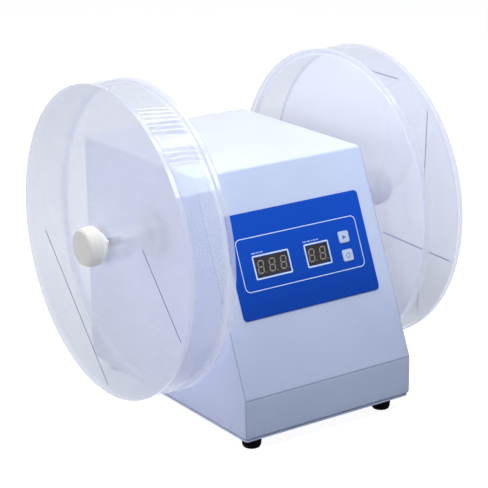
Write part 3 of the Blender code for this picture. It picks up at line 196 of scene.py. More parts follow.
def add_node(tree, kind, settings=None, sockets=None):
    """Adds one node: its settings first, then its sockets by name or place."""
    node = tree.nodes.new(kind)
    for name, value in (settings or {}).items():
        setattr(node, name, value)
    for name, value in (sockets or {}).items():
        feed(tree, node.inputs[name], value)
    return node


def mixed(tree, share, first, second):
    """One colour blended into another; each is a tuple or a socket."""
    first, second = ((*colour, 1.0) if isinstance(colour, tuple) else colour for colour in (first, second))
    blend = add_node(tree, "ShaderNodeMix", {"data_type": "RGBA"}, {0: share, 6: first, 7: second})
    return blend.outputs[2]


# %% [markdown]
# ## A finish in the making
#
# Every finish here is one Principled shader. What changes over a surface comes from Object coordinates,
# which are metres in the machine's own frame, so a grain can be written at its true size. Small relief goes
# through a Bump node. The helper below holds the tree, the three coordinates and the distance from the
# shaft, because turned pieces carry their tool marks in rings.


# %% Finish helper
class Finish:
    """A material being built round one Principled shader."""

    def __init__(self, name, colour, roughness, **uniform):
        self.name = name
        self.material = bpy.data.materials.new(f"{name}_finish")
        self.material.use_nodes = True
        self.tree = self.material.node_tree
        self.shader = self.tree.nodes["Principled BSDF"]
        self.set("Base Color", (*colour, 1.0))
        self.set("Roughness", roughness)
        for socket, value in uniform.items():
            self.set(socket.replace("_", " "), value)
        self.place = self.node("ShaderNodeTexCoord").outputs["Object"]
        split = self.node("ShaderNodeSeparateXYZ", sockets={"Vector": self.place})
        self.x, self.y, self.z = (Value(self.tree, split.outputs[axis]) for axis in "XYZ")

    def node(self, kind, settings=None, sockets=None):
        return add_node(self.tree, kind, settings, sockets)

    def set(self, socket, value):
        feed(self.tree, self.shader.inputs[socket], value)

    def noise(self, grain, detail=2.0, roughness=0.5, stretch=(1.0, 1.0, 1.0)):
        """Cloudy noise whose blots are about one grain across, stretched along the axes."""
        mapping = self.node("ShaderNodeMapping", sockets={"Vector": self.place, "Scale": stretch})
        sockets = {
            "Vector": mapping.outputs[0], "Scale": 1.0 / grain, "Detail": detail, "Roughness": roughness,
        }
        return Value(self.tree, self.node("ShaderNodeTexNoise", sockets=sockets).outputs["Fac"])

    def tool_rings(self, pitch):
        """Tool marks from 0 to 1 at a pitch: rings on a face, lines round a flank."""
        height = self.z - AXIS_HEIGHT
        from_shaft = (self.y * self.y + height * height).sum("SQRT")
        return ((from_shaft + self.x) * (2 * math.pi / pitch)).sum("SINE") * 0.5 + 0.5

    def mix(self, share, first, second):
        return mixed(self.tree, share, first, second)

    def relief(self, height, depth, strength=1.0):
        """Small relief: a height from 0 to 1, as deep as given in metres."""
        sockets = {"Height": height, "Distance": depth, "Strength": strength}
        self.set("Normal", self.node("ShaderNodeBump", sockets=sockets).outputs[0])


FINISHES = {}


def keep(finish):
    """Stores a finish under its name and says so."""
    FINISHES[finish.name] = finish.material
    print("finish", finish.name, "with", len(finish.tree.nodes), "nodes")


# %% [markdown]
# ## Powder coat
#
# The housing is sheet steel under a pale, cool white powder coat. The powder melts into a skin with a faint
# orange peel, about a millimetre from crest to crest, and is a little duller in the hollows. An image could
# hold that, but noise at two sizes stays sharp from any distance. Over its lowest few centimetres the coat is
# darker in patches, which a smooth step over the height brings in.
#
# Each fold and welded edge gets a thin darker line: painted shade, where the bend turns from the lamps. A
# point on such a line is equally deep below the planes of the two flats that meet there, so the line comes
# from the difference of two depths. A second step keeps it near the edge, because the same difference is
# also nought on a slanting line across a flat.

# %% Powder coat
LEAN = math.atan2(0.080, 0.192)
FOLD_WIDTH = 0.9 * MM
SHALLOW_FOLD_WIDTH = 0.35 * MM
FOLD_REACH = (2.4 * MM, 3.2 * MM)
FOLD_SHADE_SHARE, LOW_PATCH_SHARE = 0.95, 0.35
LABEL_HALF = 0.25 * MM

coat = Finish("powder_coat", (0.67, 0.70, 0.87), 0.42, IOR=1.5, Specular_IOR_Level=0.22)
peel = coat.noise(1.3 * MM, detail=1.0)
cloud = coat.noise(60 * MM, detail=3.0)
# Darker patches over the lowest few centimetres of the housing.
low_dark_patches = (1.0 - coat.z.step(16 * MM, 34 * MM)) * coat.noise(9 * MM, detail=4.0).step(0.42, 0.75)
tone = coat.mix(cloud.step(0.3, 0.7), (0.655, 0.684, 0.862), (0.685, 0.712, 0.880))

low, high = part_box("housing_shell")
on_slope_plane = middle("control_label")
slope_depth = -math.cos(LEAN) * on_slope_plane.y + math.sin(LEAN) * on_slope_plane.z - LABEL_HALF
below_side = high.x - abs(coat.x)
below_skirt = coat.y - low.y
below_slope = slope_depth + coat.y * math.cos(LEAN) - coat.z * math.sin(LEAN)


def fold(first, second, width):
    """1 along the middle of the bend between two flats, where shade is painted, given the depth below each.
    """
    line = 1.0 - abs(first - second).step(0.3 * width, width)
    return line * (1.0 - (first + second).step(*FOLD_REACH))


# Painted shade: a thin darker line along the middle of each bend.
fold_shade = fold(below_side, below_slope, FOLD_WIDTH).sum("MAXIMUM", fold(below_side, below_skirt, FOLD_WIDTH))
fold_shade = fold_shade.sum("MAXIMUM", fold(below_slope, below_skirt, SHALLOW_FOLD_WIDTH))
tone = coat.mix(fold_shade * FOLD_SHADE_SHARE, tone, (0.36, 0.40, 0.55))
coat.set("Base Color", coat.mix(low_dark_patches * LOW_PATCH_SHARE, tone, (0.50, 0.52, 0.56)))
coat.set("Roughness", peel * 0.08 + cloud * 0.06 + 0.34)
coat.relief(peel, 0.012 * MM, 0.35)
keep(coat)

# %% [markdown]
# ## Clear acrylic, dulled by use
#
# The drums are cast acrylic. New, it would be as clear as glass, but years of tablets and wiping have left
# a milky haze, so that the drums read as pale veils. Real refraction renders slowly and goes dark behind
# several walls, so the haze is an alpha. The lids are handled most and are the haziest, and the sawn rims
# and cemented joints are milkier still. Seen edge on, acrylic reflects more, and a Layer Weight node darkens
# its colour there: painted shade for the dark outline of a clear sheet seen edge on. Wiping leaves hair-fine
# scratches that mostly change the roughness. Haze also passes on light from behind, which a surface lit from
# the front lacks: a faint emission stands in for it, and dies away edge on. The lids are a little darker and
# milkier towards the bottom.

# %% Acrylic
EDGE_ON_PAINTED_SHADE = 0.35
LOW_TONE_SCALE = 0.6
LOW_TONE_SHARE = 4.0
PASSED_ON = (0.58, 0.61, 0.76)
PASSED_ON_EDGE_ON = (0.22, 0.22, 0.25)


def acrylic(name, colour, haze, edge, scuff, passed_on, low_haze=0.0):
    """Acrylic with so much haze square on, so much more edge on, and so much light passed on from behind."""
    sheet = Finish(name, colour, 0.12, IOR=1.49, Specular_IOR_Level=1.0, Emission_Strength=passed_on)
    facing = sheet.node("ShaderNodeLayerWeight", sockets={"Blend": 0.25}).outputs["Facing"]
    grazing = Value(sheet.tree, facing)
    dust = sheet.noise(35 * MM, detail=4.0, roughness=0.6)
    wiped = sheet.noise(2.4 * MM, detail=2.0, stretch=(1.0, 0.05, 0.6)).step(0.50, 0.85)
    # Towards the bottom the sheet is darker in colour and milkier, by a step over the height.
    below = (1.0 - sheet.z.step(0.05, 0.17)) * low_haze
    darker, low_tone = (tuple(shade * channel for channel in colour) for shade in (EDGE_ON_PAINTED_SHADE, LOW_TONE_SCALE))
    body = sheet.mix(below * LOW_TONE_SHARE, colour, low_tone)
    # Painted shade: at grazing angles the colour falls to the darker copy.
    sheet.set("Base Color", sheet.mix(grazing.step(0.25, 0.95), body, darker))
    sheet.set("Emission Color", sheet.mix(grazing.step(0.80, 0.99), PASSED_ON, PASSED_ON_EDGE_ON))
    milky = dust * 0.06 + wiped * scuff + below
    sheet.set("Alpha", (grazing * edge + milky + (haze - 0.03)).sum("MINIMUM", 1.0))
    sheet.set("Roughness", dust * 0.03 + wiped * 0.04 + 0.025)
    sheet.relief(wiped, 0.002 * MM, 0.1)
    keep(sheet)


# Painted shade and painted light: the wall and the rims get dark base colours, and each piece's emission
# paints light back in.
acrylic("acrylic_lid", (0.88, 0.88, 0.98), 0.40, 0.10, 0.03, 0.02, low_haze=0.09)
acrylic("acrylic_disc", (0.76, 0.78, 0.90), 0.14, 0.18, 0.02, 0.08)
acrylic("acrylic_wall", (0.28, 0.31, 0.38), 0.13, 0.45, 0.02, 0.28)
acrylic("acrylic_blade", (0.74, 0.76, 0.84), 0.05, 0.12, 0.02, 0.10)
acrylic("acrylic_rim", (0.36, 0.36, 0.42), 0.50, 0.30, 0.03, 0.48)
acrylic("acrylic_tube", (0.62, 0.63, 0.72), 0.20, 0.60, 0.03, 0.16)
acrylic("acrylic_glue", (0.85, 0.85, 0.94), 0.30, 0.20, 0.20, 0.10)

# %% [markdown]
# ## Turned nylon
#
# The knobs are turned from off-white nylon bar. A lathe tool leaves a fine spiral, which shows as rings on
# the face and lines round the flank. A sine of the distance from the shaft plus the distance along it gives
# both, and fine noise breaks them up. Light gets a little way into nylon, and a faint emission carries what
# comes out again on the side away from the lamps. The washers and the gear wheel are turned plastics too.


# %% Turned nylon
def turned_nylon(name, colour, shade, pitch):
    """Nylon with tool marks at the given pitch."""
    nylon = Finish(
        name, colour, 0.46, IOR=1.53, Specular_IOR_Level=0.25, Subsurface_Weight=0.15,
        Subsurface_Scale=0.003, Emission_Color=(1.0, 0.97, 0.93, 1.0), Emission_Strength=0.08,
    )
    grain = nylon.noise(0.9 * MM, detail=3.0)
    stain = nylon.noise(11 * MM, detail=4.0).step(0.50, 0.85)
    nylon.set("Base Color", nylon.mix(stain * 0.5, colour, shade))
    nylon.set("Roughness", grain * 0.14 + 0.36)
    nylon.relief(nylon.tool_rings(pitch) * 0.6 + grain * 0.4, 0.02 * MM, 0.45)
    keep(nylon)


turned_nylon("cream_nylon", (0.81, 0.76, 0.70), (0.74, 0.69, 0.63), 0.5 * MM)
turned_nylon("white_nylon", (0.90, 0.90, 0.89), (0.82, 0.82, 0.80), 0.35 * MM)
turned_nylon("gear_acetal", (0.84, 0.83, 0.78), (0.78, 0.76, 0.70), 0.4 * MM)

# %% [markdown]
# ## Rubber, moulded plastic, film and ink
#
# The feet are matt black rubber with a dusting on their flanks, the fittings at the back are black plastic
# from a spark eroded mould, and the control label is a satin blue film with printed ink. The keys are pale
# moulded plastic and the display windows are dark, glossy plastic. Each is one colour with fine grain, so one
# recipe serves: noise for the grain, and a second, larger noise for dust or wear.
# The film is painted darker low on the slope as painted shade, like the light falling off down the face,
# so the film gets a step over the height instead.


# %% Fine grained finishes
def grained(name, colour, worn, grain, depth, dull, bright, **uniform):
    """A colour with fine grain, in millimetres, and cloudy wear, as dull and as bright as given."""
    skin = Finish(name, colour, dull, **uniform)
    fine = skin.noise(grain * MM, detail=2.0)
    wear = skin.noise(14 * MM, detail=4.0).step(0.48, 0.82)
    skin.set("Base Color", skin.mix(wear * 0.6, colour, worn))
    skin.set("Roughness", fine * (dull - bright) + wear * 0.05 + bright)
    skin.relief(fine, depth * MM, 0.5)
    keep(skin)
    return skin


rubber, worn_rubber = (0.006, 0.006, 0.008), (0.014, 0.014, 0.016)
grained("black_rubber", rubber, worn_rubber, 0.6, 0.04, 0.85, 0.62, Specular_IOR_Level=0.03)
grained("black_plastic", (0.017, 0.017, 0.018), (0.030, 0.030, 0.031), 0.45, 0.02, 0.52, 0.36)
blue, worn_blue = (0.010, 0.085, 0.56), (0.012, 0.095, 0.59)
film = grained("blue_label_film", blue, worn_blue, 0.5, 0.004, 0.46, 0.38, Specular_IOR_Level=0.06)
# Painted shade: the film darkens towards the bottom of the slope.
label_low_painted_shade = 1.0 - film.z.step(0.06, 0.19)
film.set("Base Color", film.mix(label_low_painted_shade * 0.9, (0.009, 0.084, 0.55), (0.008, 0.047, 0.30)))
grained("pale_button", (0.62, 0.69, 0.85), (0.56, 0.62, 0.78), 0.4, 0.01, 0.50, 0.40)
grained("white_ink", (0.80, 0.88, 1.0), (0.74, 0.84, 0.98), 0.3, 0.004, 0.50, 0.40)
grained("faint_ink", (0.42, 0.52, 0.84), (0.36, 0.46, 0.80), 0.3, 0.004, 0.50, 0.40)
grained("button_ink", (0.12, 0.13, 0.36), (0.17, 0.18, 0.42), 0.3, 0.004, 0.55, 0.45)
grained("pen_ink", (0.014, 0.010, 0.26), (0.022, 0.018, 0.33), 0.8, 0.004, 0.55, 0.45)
face, worn_face = (0.033, 0.024, 0.022), (0.043, 0.032, 0.030)
grained("display_face", face, worn_face, 2.0, 0.002, 0.14, 0.08, Specular_IOR_Level=0.3)
grained("display_segment", (0.27, 0.22, 0.205), (0.32, 0.265, 0.25), 0.5, 0.004, 0.50, 0.40)

# %% [markdown]
# ## Metals
#
# Zinc plate shows soft crystals, so its roughness follows Voronoi cells. Shaft, bearings and pinion are
# turned and carry rings. The uprights, hubs and power supply are aluminium, brushed along one direction, so
# their noise is stretched. The gear motor's case is rolled steel with fine lines round it, and the threads
# behind the lids are blackened steel.


# %% Metals
def metal(name, colour, height, rough, spread, depth):
    """A metal whose roughness and relief follow one height, from 0 to 1, that the recipe works out."""
    bare = Finish(name, colour, rough, Metallic=1.0)
    grain = height(bare)
    smudge = bare.noise(20 * MM, detail=4.0).step(0.45, 0.80)
    bare.set("Base Color", bare.mix(smudge * 0.7, colour, tuple(0.8 * channel for channel in colour)))
    bare.set("Roughness", grain * spread + smudge * 0.08 + rough)
    bare.relief(grain, depth, 0.4)
    keep(bare)


def crystals(bare):
    """Zinc crystals, a few millimetres across."""
    cells = bare.node("ShaderNodeTexVoronoi", sockets={"Vector": bare.place, "Scale": 1.0 / (3 * MM)})
    return Value(bare.tree, cells.outputs["Distance"])


def rings(bare):
    """Turned rings round the shaft."""
    return bare.tool_rings(0.3 * MM)


def brushed(bare):
    """Brush strokes that run up the piece."""
    return bare.noise(0.8 * MM, detail=3.0, stretch=(1.0, 1.0, 0.05))


metal("zinc_steel", (0.60, 0.61, 0.62), crystals, 0.30, 0.16, 0.01 * MM)
metal("turned_steel", (0.66, 0.66, 0.67), rings, 0.18, 0.12, 0.008 * MM)
metal("aluminium", (0.74, 0.75, 0.77), brushed, 0.26, 0.20, 0.01 * MM)
metal("motor_steel", (0.42, 0.43, 0.45), rings, 0.28, 0.12, 0.008 * MM)
metal("dark_steel", (0.06, 0.06, 0.07), rings, 0.34, 0.12, 0.004 * MM)

# %% [markdown]
# ## Circuit board
#
# The board behind the panel is out of sight, but the vents leave it open to a curious eye. Its traces are a
# regular pattern, so they are worked out rather than drawn: bands across the board, broken by a checker of
# larger fields.

# %% Circuit board
board = Finish("circuit_board", (0.015, 0.14, 0.05), 0.30, Coat_Weight=0.4)
lines = (board.x % (1.6 * MM)).step(0.9 * MM, 1.1 * MM)
checks = board.node("ShaderNodeTexChecker", sockets={"Vector": board.place, "Scale": 1.0 / (12 * MM)})
tracks = lines * Value(board.tree, checks.outputs["Fac"])
board.set("Base Color", board.mix(tracks, (0.012, 0.12, 0.045), (0.035, 0.24, 0.09)))
board.relief(tracks, 0.03 * MM, 0.5)
keep(board)

# %% [markdown]
# ## Dressing the solids that stay
#
# A solid whose shape is right only needs its finish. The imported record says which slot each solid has, and
# most slots have a finish of the same name, so a loop can hand them out. The base plate is coated like the
# housing. Pieces made later hide the solids that they stand for.

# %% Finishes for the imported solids
NODE_SLOT = {subpart["node"]: subpart["material_slot"] for subpart in frame["record"]["subparts"]}
NODE_FINISH = {node: slot.replace("clear_acrylic", "acrylic_disc") for node, slot in NODE_SLOT.items()}
NODE_FINISH["base_plate"] = "powder_coat"
for node, finish in NODE_FINISH.items():
    solid = frame["nodes"][node]
    solid.data.materials.clear()
    solid.data.materials.append(FINISHES[finish])
print("finished", len(NODE_FINISH), "solids")

# %% [markdown]
# ## Pieces and what they stand for
#
# Each new mesh becomes an object at the origin, with its place in its vertices, rides the body of the solid
# that it stands for, and hides that solid. The table of bodies and the record's slots come with the frame,
# so a piece only names its solids. Smooth shading is kept off edges sharper than thirty degrees.

# %% Making a piece
NODE_BODY = {
    node: body for body, nodes in frame["record"]["behaviour"]["bodies"].items() for node in nodes
}


def make_piece(name, mesh, finish, like, stands_for=(), sharp=30.0):
    """Turns a mesh into a piece that rides with the solid it is like and hides the solids it stands for."""
    mesh.materials.clear()
    mesh.materials.append(FINISHES[finish])
    mesh.shade_smooth()
    mesh.set_sharp_from_angle(angle=math.radians(sharp))
    made = bpy.data.objects.new(name, mesh)
    bpy.context.scene.collection.objects.link(made)
    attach(made, NODE_BODY[like])
    if stands_for:
        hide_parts(*stands_for)
    return made


def second_finish(piece, finish, chosen):
    """Gives a second finish to the faces whose middle is chosen, and counts them."""
    piece.data.materials.append(FINISHES[finish])
    for face in piece.data.polygons:
        face.material_index = int(chosen(face.center))
    return sum(face.material_index for face in piece.data.polygons)


# %% Closing a mesh
MERGE = 0.002 * MM
print("points closer than", MERGE, "m become one")


def closed_mesh(name, source, recalculate=True):
    """A new mesh from a mesh or shape, with its doubles merged and its faces turned outward."""
    shape = source
    if isinstance(source, bpy.types.Mesh):
        shape = bmesh.new()
        shape.from_mesh(source)
    bmesh.ops.remove_doubles(shape, verts=shape.verts, dist=MERGE)
    if recalculate:
        bmesh.ops.recalc_face_normals(shape, faces=shape.faces)
    mesh = bpy.data.meshes.new(name)
    shape.to_mesh(mesh)
    shape.free()
    return mesh


def swept(name, parts):
    """A closed mesh of parts, each a list of sections with equally many points, capped at both ends."""
    shape = bmesh.new()
    for sections in parts:
        rows = [[shape.verts.new(point) for point in section] for section in sections]
        shape.faces.new(rows[0][::-1])
        shape.faces.new(rows[-1])
        for row, following in zip(rows, rows[1:]):
            for place in range(len(row)):
                ahead = (place + 1) % len(row)
                shape.faces.new((row[place], row[ahead], following[ahead], following[place]))
    return closed_mesh(name, shape)


# %% [markdown]
# ## Folded housing
#
# The housing is one sheet shell with 3 mm bends. Its solid is made of loose triangles and shades flat. A
# copy with merged corners can shade smoothly, but then the big flats pick up the tilt of the bends. A
# Weighted Normal modifier lets the large faces win, so the flats stay flat and only the bends are round.
# The round solids inside get such copies too. The rear panel has no bends and stays as it is.


# %% Smooth copies of solids
def smooth_copy(node, name, sharp=30.0, weighted=True):
    """A merged, smoothly shaded copy of a solid that stands for it."""
    mesh = closed_mesh(name, frame["nodes"][node].data, recalculate=False)
    piece = make_piece(name, mesh, NODE_FINISH[node], node, [node], sharp)
    if weighted:
        weigh = piece.modifiers.new("Flat faces win", "WEIGHTED_NORMAL")
        weigh.keep_sharp = True
        weigh.weight = 100
    return piece


housing = smooth_copy("housing_shell", "folded_housing", 40.0)
print("housing has", len(housing.data.polygons), "faces")

for node in (
    "main_shaft", "left_bearing", "right_bearing", "left_bearing_upright", "right_bearing_upright",
    "left_drum_hub", "right_drum_hub", "driven_gear", "drive_pinion", "gear_motor", "count_disc",
    "fuse_holder",
):
    smooth_copy(node, f"smooth_{node}")
print("smooth copies made")

# %% [markdown]
# ## Edges that catch the light
#
# The base plate and the moulded fittings at the back have sharp edges in their solids, and real ones don't.
# A Bevel modifier on a merged copy rounds every edge by a few tenths of a millimetre. Doing it in mesh code
# would give the same faces, but the modifier keeps the width easy to change.

# %% Bevelled copies
BEVELS = {
    "base_plate": 0.3, "power_inlet": 0.35, "switch_frame": 0.3, "power_rocker": 0.35, "fuse_cap": 0.25,
}


def bevel(piece, width, angle=40.0, segments=2):
    """Rounds a piece's edges that are sharper than an angle, by a width in millimetres."""
    edge = piece.modifiers.new("Soft edges", "BEVEL")
    edge.width = width * MM
    edge.segments = segments
    edge.angle_limit = math.radians(angle)
    edge.harden_normals = True


for node, width in BEVELS.items():
    bevel(smooth_copy(node, f"soft_{node}", weighted=False), width)
print("bevelled", len(BEVELS), "pieces")

# %% [markdown]
# ## Turning round the shaft
#
# Lids, walls, discs, rings, knobs, washers and feet are all turned: one outline carried round an axis. The
# Screw modifier or a spin in mesh code would do, but a small Geometry Nodes tree keeps the rule in view. A
# grid has one column for each step round and one row for each point of the outline. Each grid point looks up
# its outline point, where X is the distance along the axis and Z the radius, and swings it round. Merging by
# distance closes the seam and the poles.

# %% Starting and ending a tree
FLOAT, INTEGER, VECTOR, OBJECT = (f"NodeSocket{kind}" for kind in ("Float", "Int", "Vector", "Object"))


def new_tree(name, inputs):
    """A geometry tree with the named inputs and a finish, and each input as a value."""
    tree = bpy.data.node_groups.new(name, "GeometryNodeTree")
    kinds = {"Geometry": "NodeSocketGeometry", **inputs, "Finish": "NodeSocketMaterial"}
    for label, kind in kinds.items():
        tree.interface.new_socket(label, in_out="INPUT", socket_type=kind)
    tree.interface.new_socket("Geometry", in_out="OUTPUT", socket_type="NodeSocketGeometry")
    entry = add_node(tree, "NodeGroupInput")
    return tree, {label: Value(tree, entry.outputs[label]) for label in kinds}


def finish_tree(tree, geometry, given):
    """Ends a tree in Realize Instances and Set Material."""
    real = add_node(tree, "GeometryNodeRealizeInstances", sockets={"Geometry": geometry})
    sockets = {"Geometry": real.outputs[0], "Material": given["Finish"]}
    dressed = add_node(tree, "GeometryNodeSetMaterial", sockets=sockets)
    add_node(tree, "NodeGroupOutput", sockets={0: dressed.outputs[0]})
    print("tree", tree.name, "has", len(tree.nodes), "nodes")


# %% Turning tree
turning, given = new_tree("Turn an outline", {"Steps": INTEGER, "Direction": FLOAT})
count = add_node(turning, "GeometryNodeAttributeDomainSize", sockets={"Geometry": given["Geometry"]})
points = Value(turning, count.outputs["Point Count"])
steps = given["Steps"]
grid = add_node(turning, "GeometryNodeMeshGrid", sockets={"Vertices X": steps + 1.0, "Vertices Y": points})
index = Value(turning, add_node(turning, "GeometryNodeInputIndex").outputs[0])
position = add_node(turning, "GeometryNodeInputPosition").outputs[0]
outline_point = add_node(
    turning, "GeometryNodeSampleIndex", {"data_type": "FLOAT_VECTOR", "domain": "POINT"},
    {"Geometry": given["Geometry"], "Value": position, "Index": index % points},
)
split = add_node(turning, "ShaderNodeSeparateXYZ", sockets={0: outline_point.outputs["Value"]})
along = Value(turning, split.outputs["X"]) * given["Direction"]
out = Value(turning, split.outputs["Z"])
angle = (index / points).sum("FLOOR") * (2 * math.pi) / steps
sockets = {"X": along, "Y": out * angle.sum("SINE"), "Z": out * angle.sum("COSINE")}
swung = add_node(turning, "ShaderNodeCombineXYZ", sockets=sockets)
sockets = {"Geometry": grid.outputs["Mesh"], "Position": swung.outputs[0]}
moved = add_node(turning, "GeometryNodeSetPosition", sockets=sockets)
sockets = {"Geometry": moved.outputs[0], "Distance": MERGE}
merged = add_node(turning, "GeometryNodeMergeByDistance", sockets=sockets)
finish_tree(turning, merged.outputs[0], given)

# %% [markdown]
# ## Running a tree
#
# A tree runs as a modifier. Its inputs are set by their identifiers before the object is first evaluated,
# and the result is copied into a plain mesh, so that nothing depends on the modifier afterwards. Outlines get
# small rounds at their corners first, because no real edge is perfectly sharp.


# %% Run a tree
def points_mesh(name, places=()):
    """A mesh of loose points for a tree to start from."""
    mesh = bpy.data.meshes.new(name)
    mesh.from_pydata([tuple(place) for place in places], [], [])
    return mesh


def grown(tree, start, **inputs):
    """The plain mesh that a tree makes from a start mesh with the named inputs."""
    holder = bpy.data.objects.new("holder", start)
    bpy.context.scene.collection.objects.link(holder)
    modifier = holder.modifiers.new("Tree", "NODES")
    modifier.node_group = tree
    for item in tree.interface.items_tree:
        label = item.name.replace(" ", "_").lower()
        if item.in_out == "INPUT" and label in inputs:
            modifier[item.identifier] = inputs[label]
    evaluated = holder.evaluated_get(bpy.context.evaluated_depsgraph_get())
    mesh = bpy.data.meshes.new_from_object(evaluated)
    bpy.data.objects.remove(holder)
    return mesh


# %% Outlines with small rounds
def rounded(corners, size, pieces=3):
    """An open outline with a round of the given size at each of its inner corners."""
    result = [corners[0]]
    for before, corner, after in zip(corners, corners[1:], corners[2:]):
        back = Vector(before) - Vector(corner)
        ahead = Vector(after) - Vector(corner)
        cut = min(size, 0.45 * back.length, 0.45 * ahead.length)
        start = Vector(corner) + back.normalized() * cut
        end = Vector(corner) + ahead.normalized() * cut
        for piece in range(pieces + 1):
            share = piece / pieces
            bend = start.lerp(Vector(corner), share).lerp(Vector(corner).lerp(end, share), share)
            result.append(tuple(bend))
    result.append(corners[-1])
    return result


def turned_mesh(name, outline, side, steps, finish, lift=AXIS_HEIGHT):
    """An outline of (distance along the shaft, radius) points turned round the shaft, facing outward."""
    start = points_mesh(name, [(along, 0.0, out) for along, out in outline])
    mesh = grown(turning, start, steps=steps, direction=SIDES[side], finish=FINISHES[finish])
    mesh.transform(Matrix.Translation((0.0, 0.0, lift)))
    return closed_mesh(name, mesh)


def ring_outline(inner, outer, near, far, size):
    """A closed rectangular section with rounded corners, its ends meeting in the middle of the bore."""
    seam = ((near + far) / 2, inner)
    return rounded([seam, (far, inner), (far, outer), (near, outer), (near, inner), seam], size)


# %% [markdown]
# ## The drums
#
# Each drum is a back disc, a wall and a centre ring cemented together, and a lid of the same size. All are
# turned, so the tree above makes them, with polished edges about half a millimetre round. The rims were sawn
# and only roughly polished, so the faces round the outside take the milkier finish: a second material slot,
# chosen by how far a face lies from the shaft. A pin on the hub drives each drum, and the back disc needs a
# hole for it, off the middle. A turned shape can't have one, so a second tree drills it with a Boolean.


# %% Drilling tree
def cut_away(tree, body, tools):
    """A body without the shapes of the tools."""
    settings = {"operation": "DIFFERENCE", "solver": "EXACT"}
    cut = add_node(tree, "GeometryNodeMeshBoolean", settings, {"Mesh 1": body})
    for tool in tools:
        feed(tree, cut.inputs["Mesh 2"], tool)
    return cut.outputs["Mesh"]


drilling, given = new_tree("Drill a hole", {"Radius": FLOAT, "Depth": FLOAT, "Place": VECTOR})
sockets = {"Vertices": 24, "Radius": given["Radius"], "Depth": given["Depth"]}
drill = add_node(drilling, "GeometryNodeMeshCylinder", sockets=sockets)
along_shaft = {"Translation": given["Place"], "Rotation": (0.0, math.pi / 2, 0.0)}
sockets = {"Geometry": drill.outputs["Mesh"], **along_shaft}
aimed = add_node(drilling, "GeometryNodeTransform", sockets=sockets)
finish_tree(drilling, cut_away(drilling, given["Geometry"], [aimed.outputs[0]]), given)

# %% Drum discs, lids and centre rings
DRUM_STEPS = 144
SMALL_STEPS = 48
SPINDLE_BORE = 4.3 * MM
PIN_CIRCLE = 7.2 * MM
PIN_HOLE = 1.8 * MM
POLISHED_EDGE = 0.4 * MM
SAWN_DEPTH = 0.9 * MM
TUBE_WALL = 3 * MM
GLUED_END = 0.6 * MM


def turned_piece(name, node, outline, steps, finish, hole=None):
    """A turned piece that stands for one solid, with a drilled hole if one is given."""
    side = "left" if node.startswith("left") else "right"
    mesh = turned_mesh(name, outline, side, steps, finish)
    if hole:
        mesh = grown(drilling, mesh, finish=FINISHES[finish], **hole)
    print(name, "reach", [round(v, 4) for v in reach(node)], "faces", len(mesh.polygons))
    return make_piece(name, mesh, finish, node, [node])


for side, sign in SIDES.items():
    for part in ("back_disc", "lid"):
        node = f"{side}_drum_{part}"
        near, far = reach(node)
        hole = None
        if part == "back_disc":
            place = (sign * (near + far) / 2, PIN_CIRCLE, AXIS_HEIGHT)
            hole = {"radius": PIN_HOLE, "depth": 4 * (far - near), "place": place}
        outline = ring_outline(SPINDLE_BORE, radius(node), near, far, POLISHED_EDGE)
        finish = "acrylic_lid" if part == "lid" else "acrylic_disc"
        disc = turned_piece(f"{side}_{part}_sheet", node, outline, DRUM_STEPS, finish, hole)
        sawn = radius(node) - SAWN_DEPTH
        second_finish(disc, "acrylic_rim", lambda place: math.hypot(place.y, place.z - AXIS_HEIGHT) > sawn)
    node = f"{side}_drum_centre_ring"
    near, far = reach(node)
    ring = ring_outline(radius(node) - TUBE_WALL, radius(node), near, far, POLISHED_EDGE)
    tube = turned_piece(f"{side}_centre_tube", node, ring, SMALL_STEPS, "acrylic_tube")
    second_finish(tube, "acrylic_glue", lambda place: abs(place.x) > far - GLUED_END)

# %% [markdown]
# ## Cemented wall
#
# The wall is a 4 mm tube. Where it meets the back disc, solvent cement has whitened a band a few millimetres
# wide and left a small bead in the corner inside. The band is a second finish on the faces near the joint,
# so the outline gets an extra point there. The bead is a ring of triangular section.

# %% Walls and their cement
WALL = 4 * MM
CEMENT_BAND = 4.5 * MM
BEAD = 2.2 * MM
SUNK = 0.3 * MM

for side in SIDES:
    node = f"{side}_drum_wall"
    near, far = reach(node)
    outer = radius(node)
    inner = outer - WALL
    seam = ((near + far) / 2, inner)
    outline = [seam, (far, inner), (far, outer), (near + CEMENT_BAND, outer), (near, outer), (near, inner)]
    outline = rounded(outline + [(near + CEMENT_BAND, inner), seam], POLISHED_EDGE)
    wall = turned_piece(f"{side}_wall_tube", node, outline, DRUM_STEPS, "acrylic_wall")
    second_finish(wall, "acrylic_rim", lambda place: abs(place.x) < near + CEMENT_BAND - 0.5 * MM)
    corner = near - SUNK
    section = [(corner, inner), (corner + BEAD, inner), (corner + 0.3 * BEAD, inner - 0.3 * BEAD)]
    section += [(corner, inner - BEAD), (corner, inner)]
    bead = turned_mesh(f"{side}_cement_bead", section, side, DRUM_STEPS, "acrylic_glue")
    make_piece(f"{side}_cement_bead", bead, "acrylic_glue", node)
    print(side, "bead at", round(corner, 4))

# %% [markdown]
# ## The scoops
#
# Each drum holds one curved blade from the centre ring to the wall. It lifts the tablets and lets them drop
# once a turn. The blade is bent acrylic on a circle that passes through the shaft. Its two faces end on the
# ring and on the wall, so each face needs its own end angles; the law of cosines gives them.

# %% Scoops
SCOOP_RADIUS = 80.5035 * MM
SCOOP_THICK = 3 * MM
SCOOP_DIRECTION = {"left": math.radians(-131.5), "right": math.radians(92.7)}
SCOOP_STEPS = 56
SCOOP_GAP = 0.3 * MM


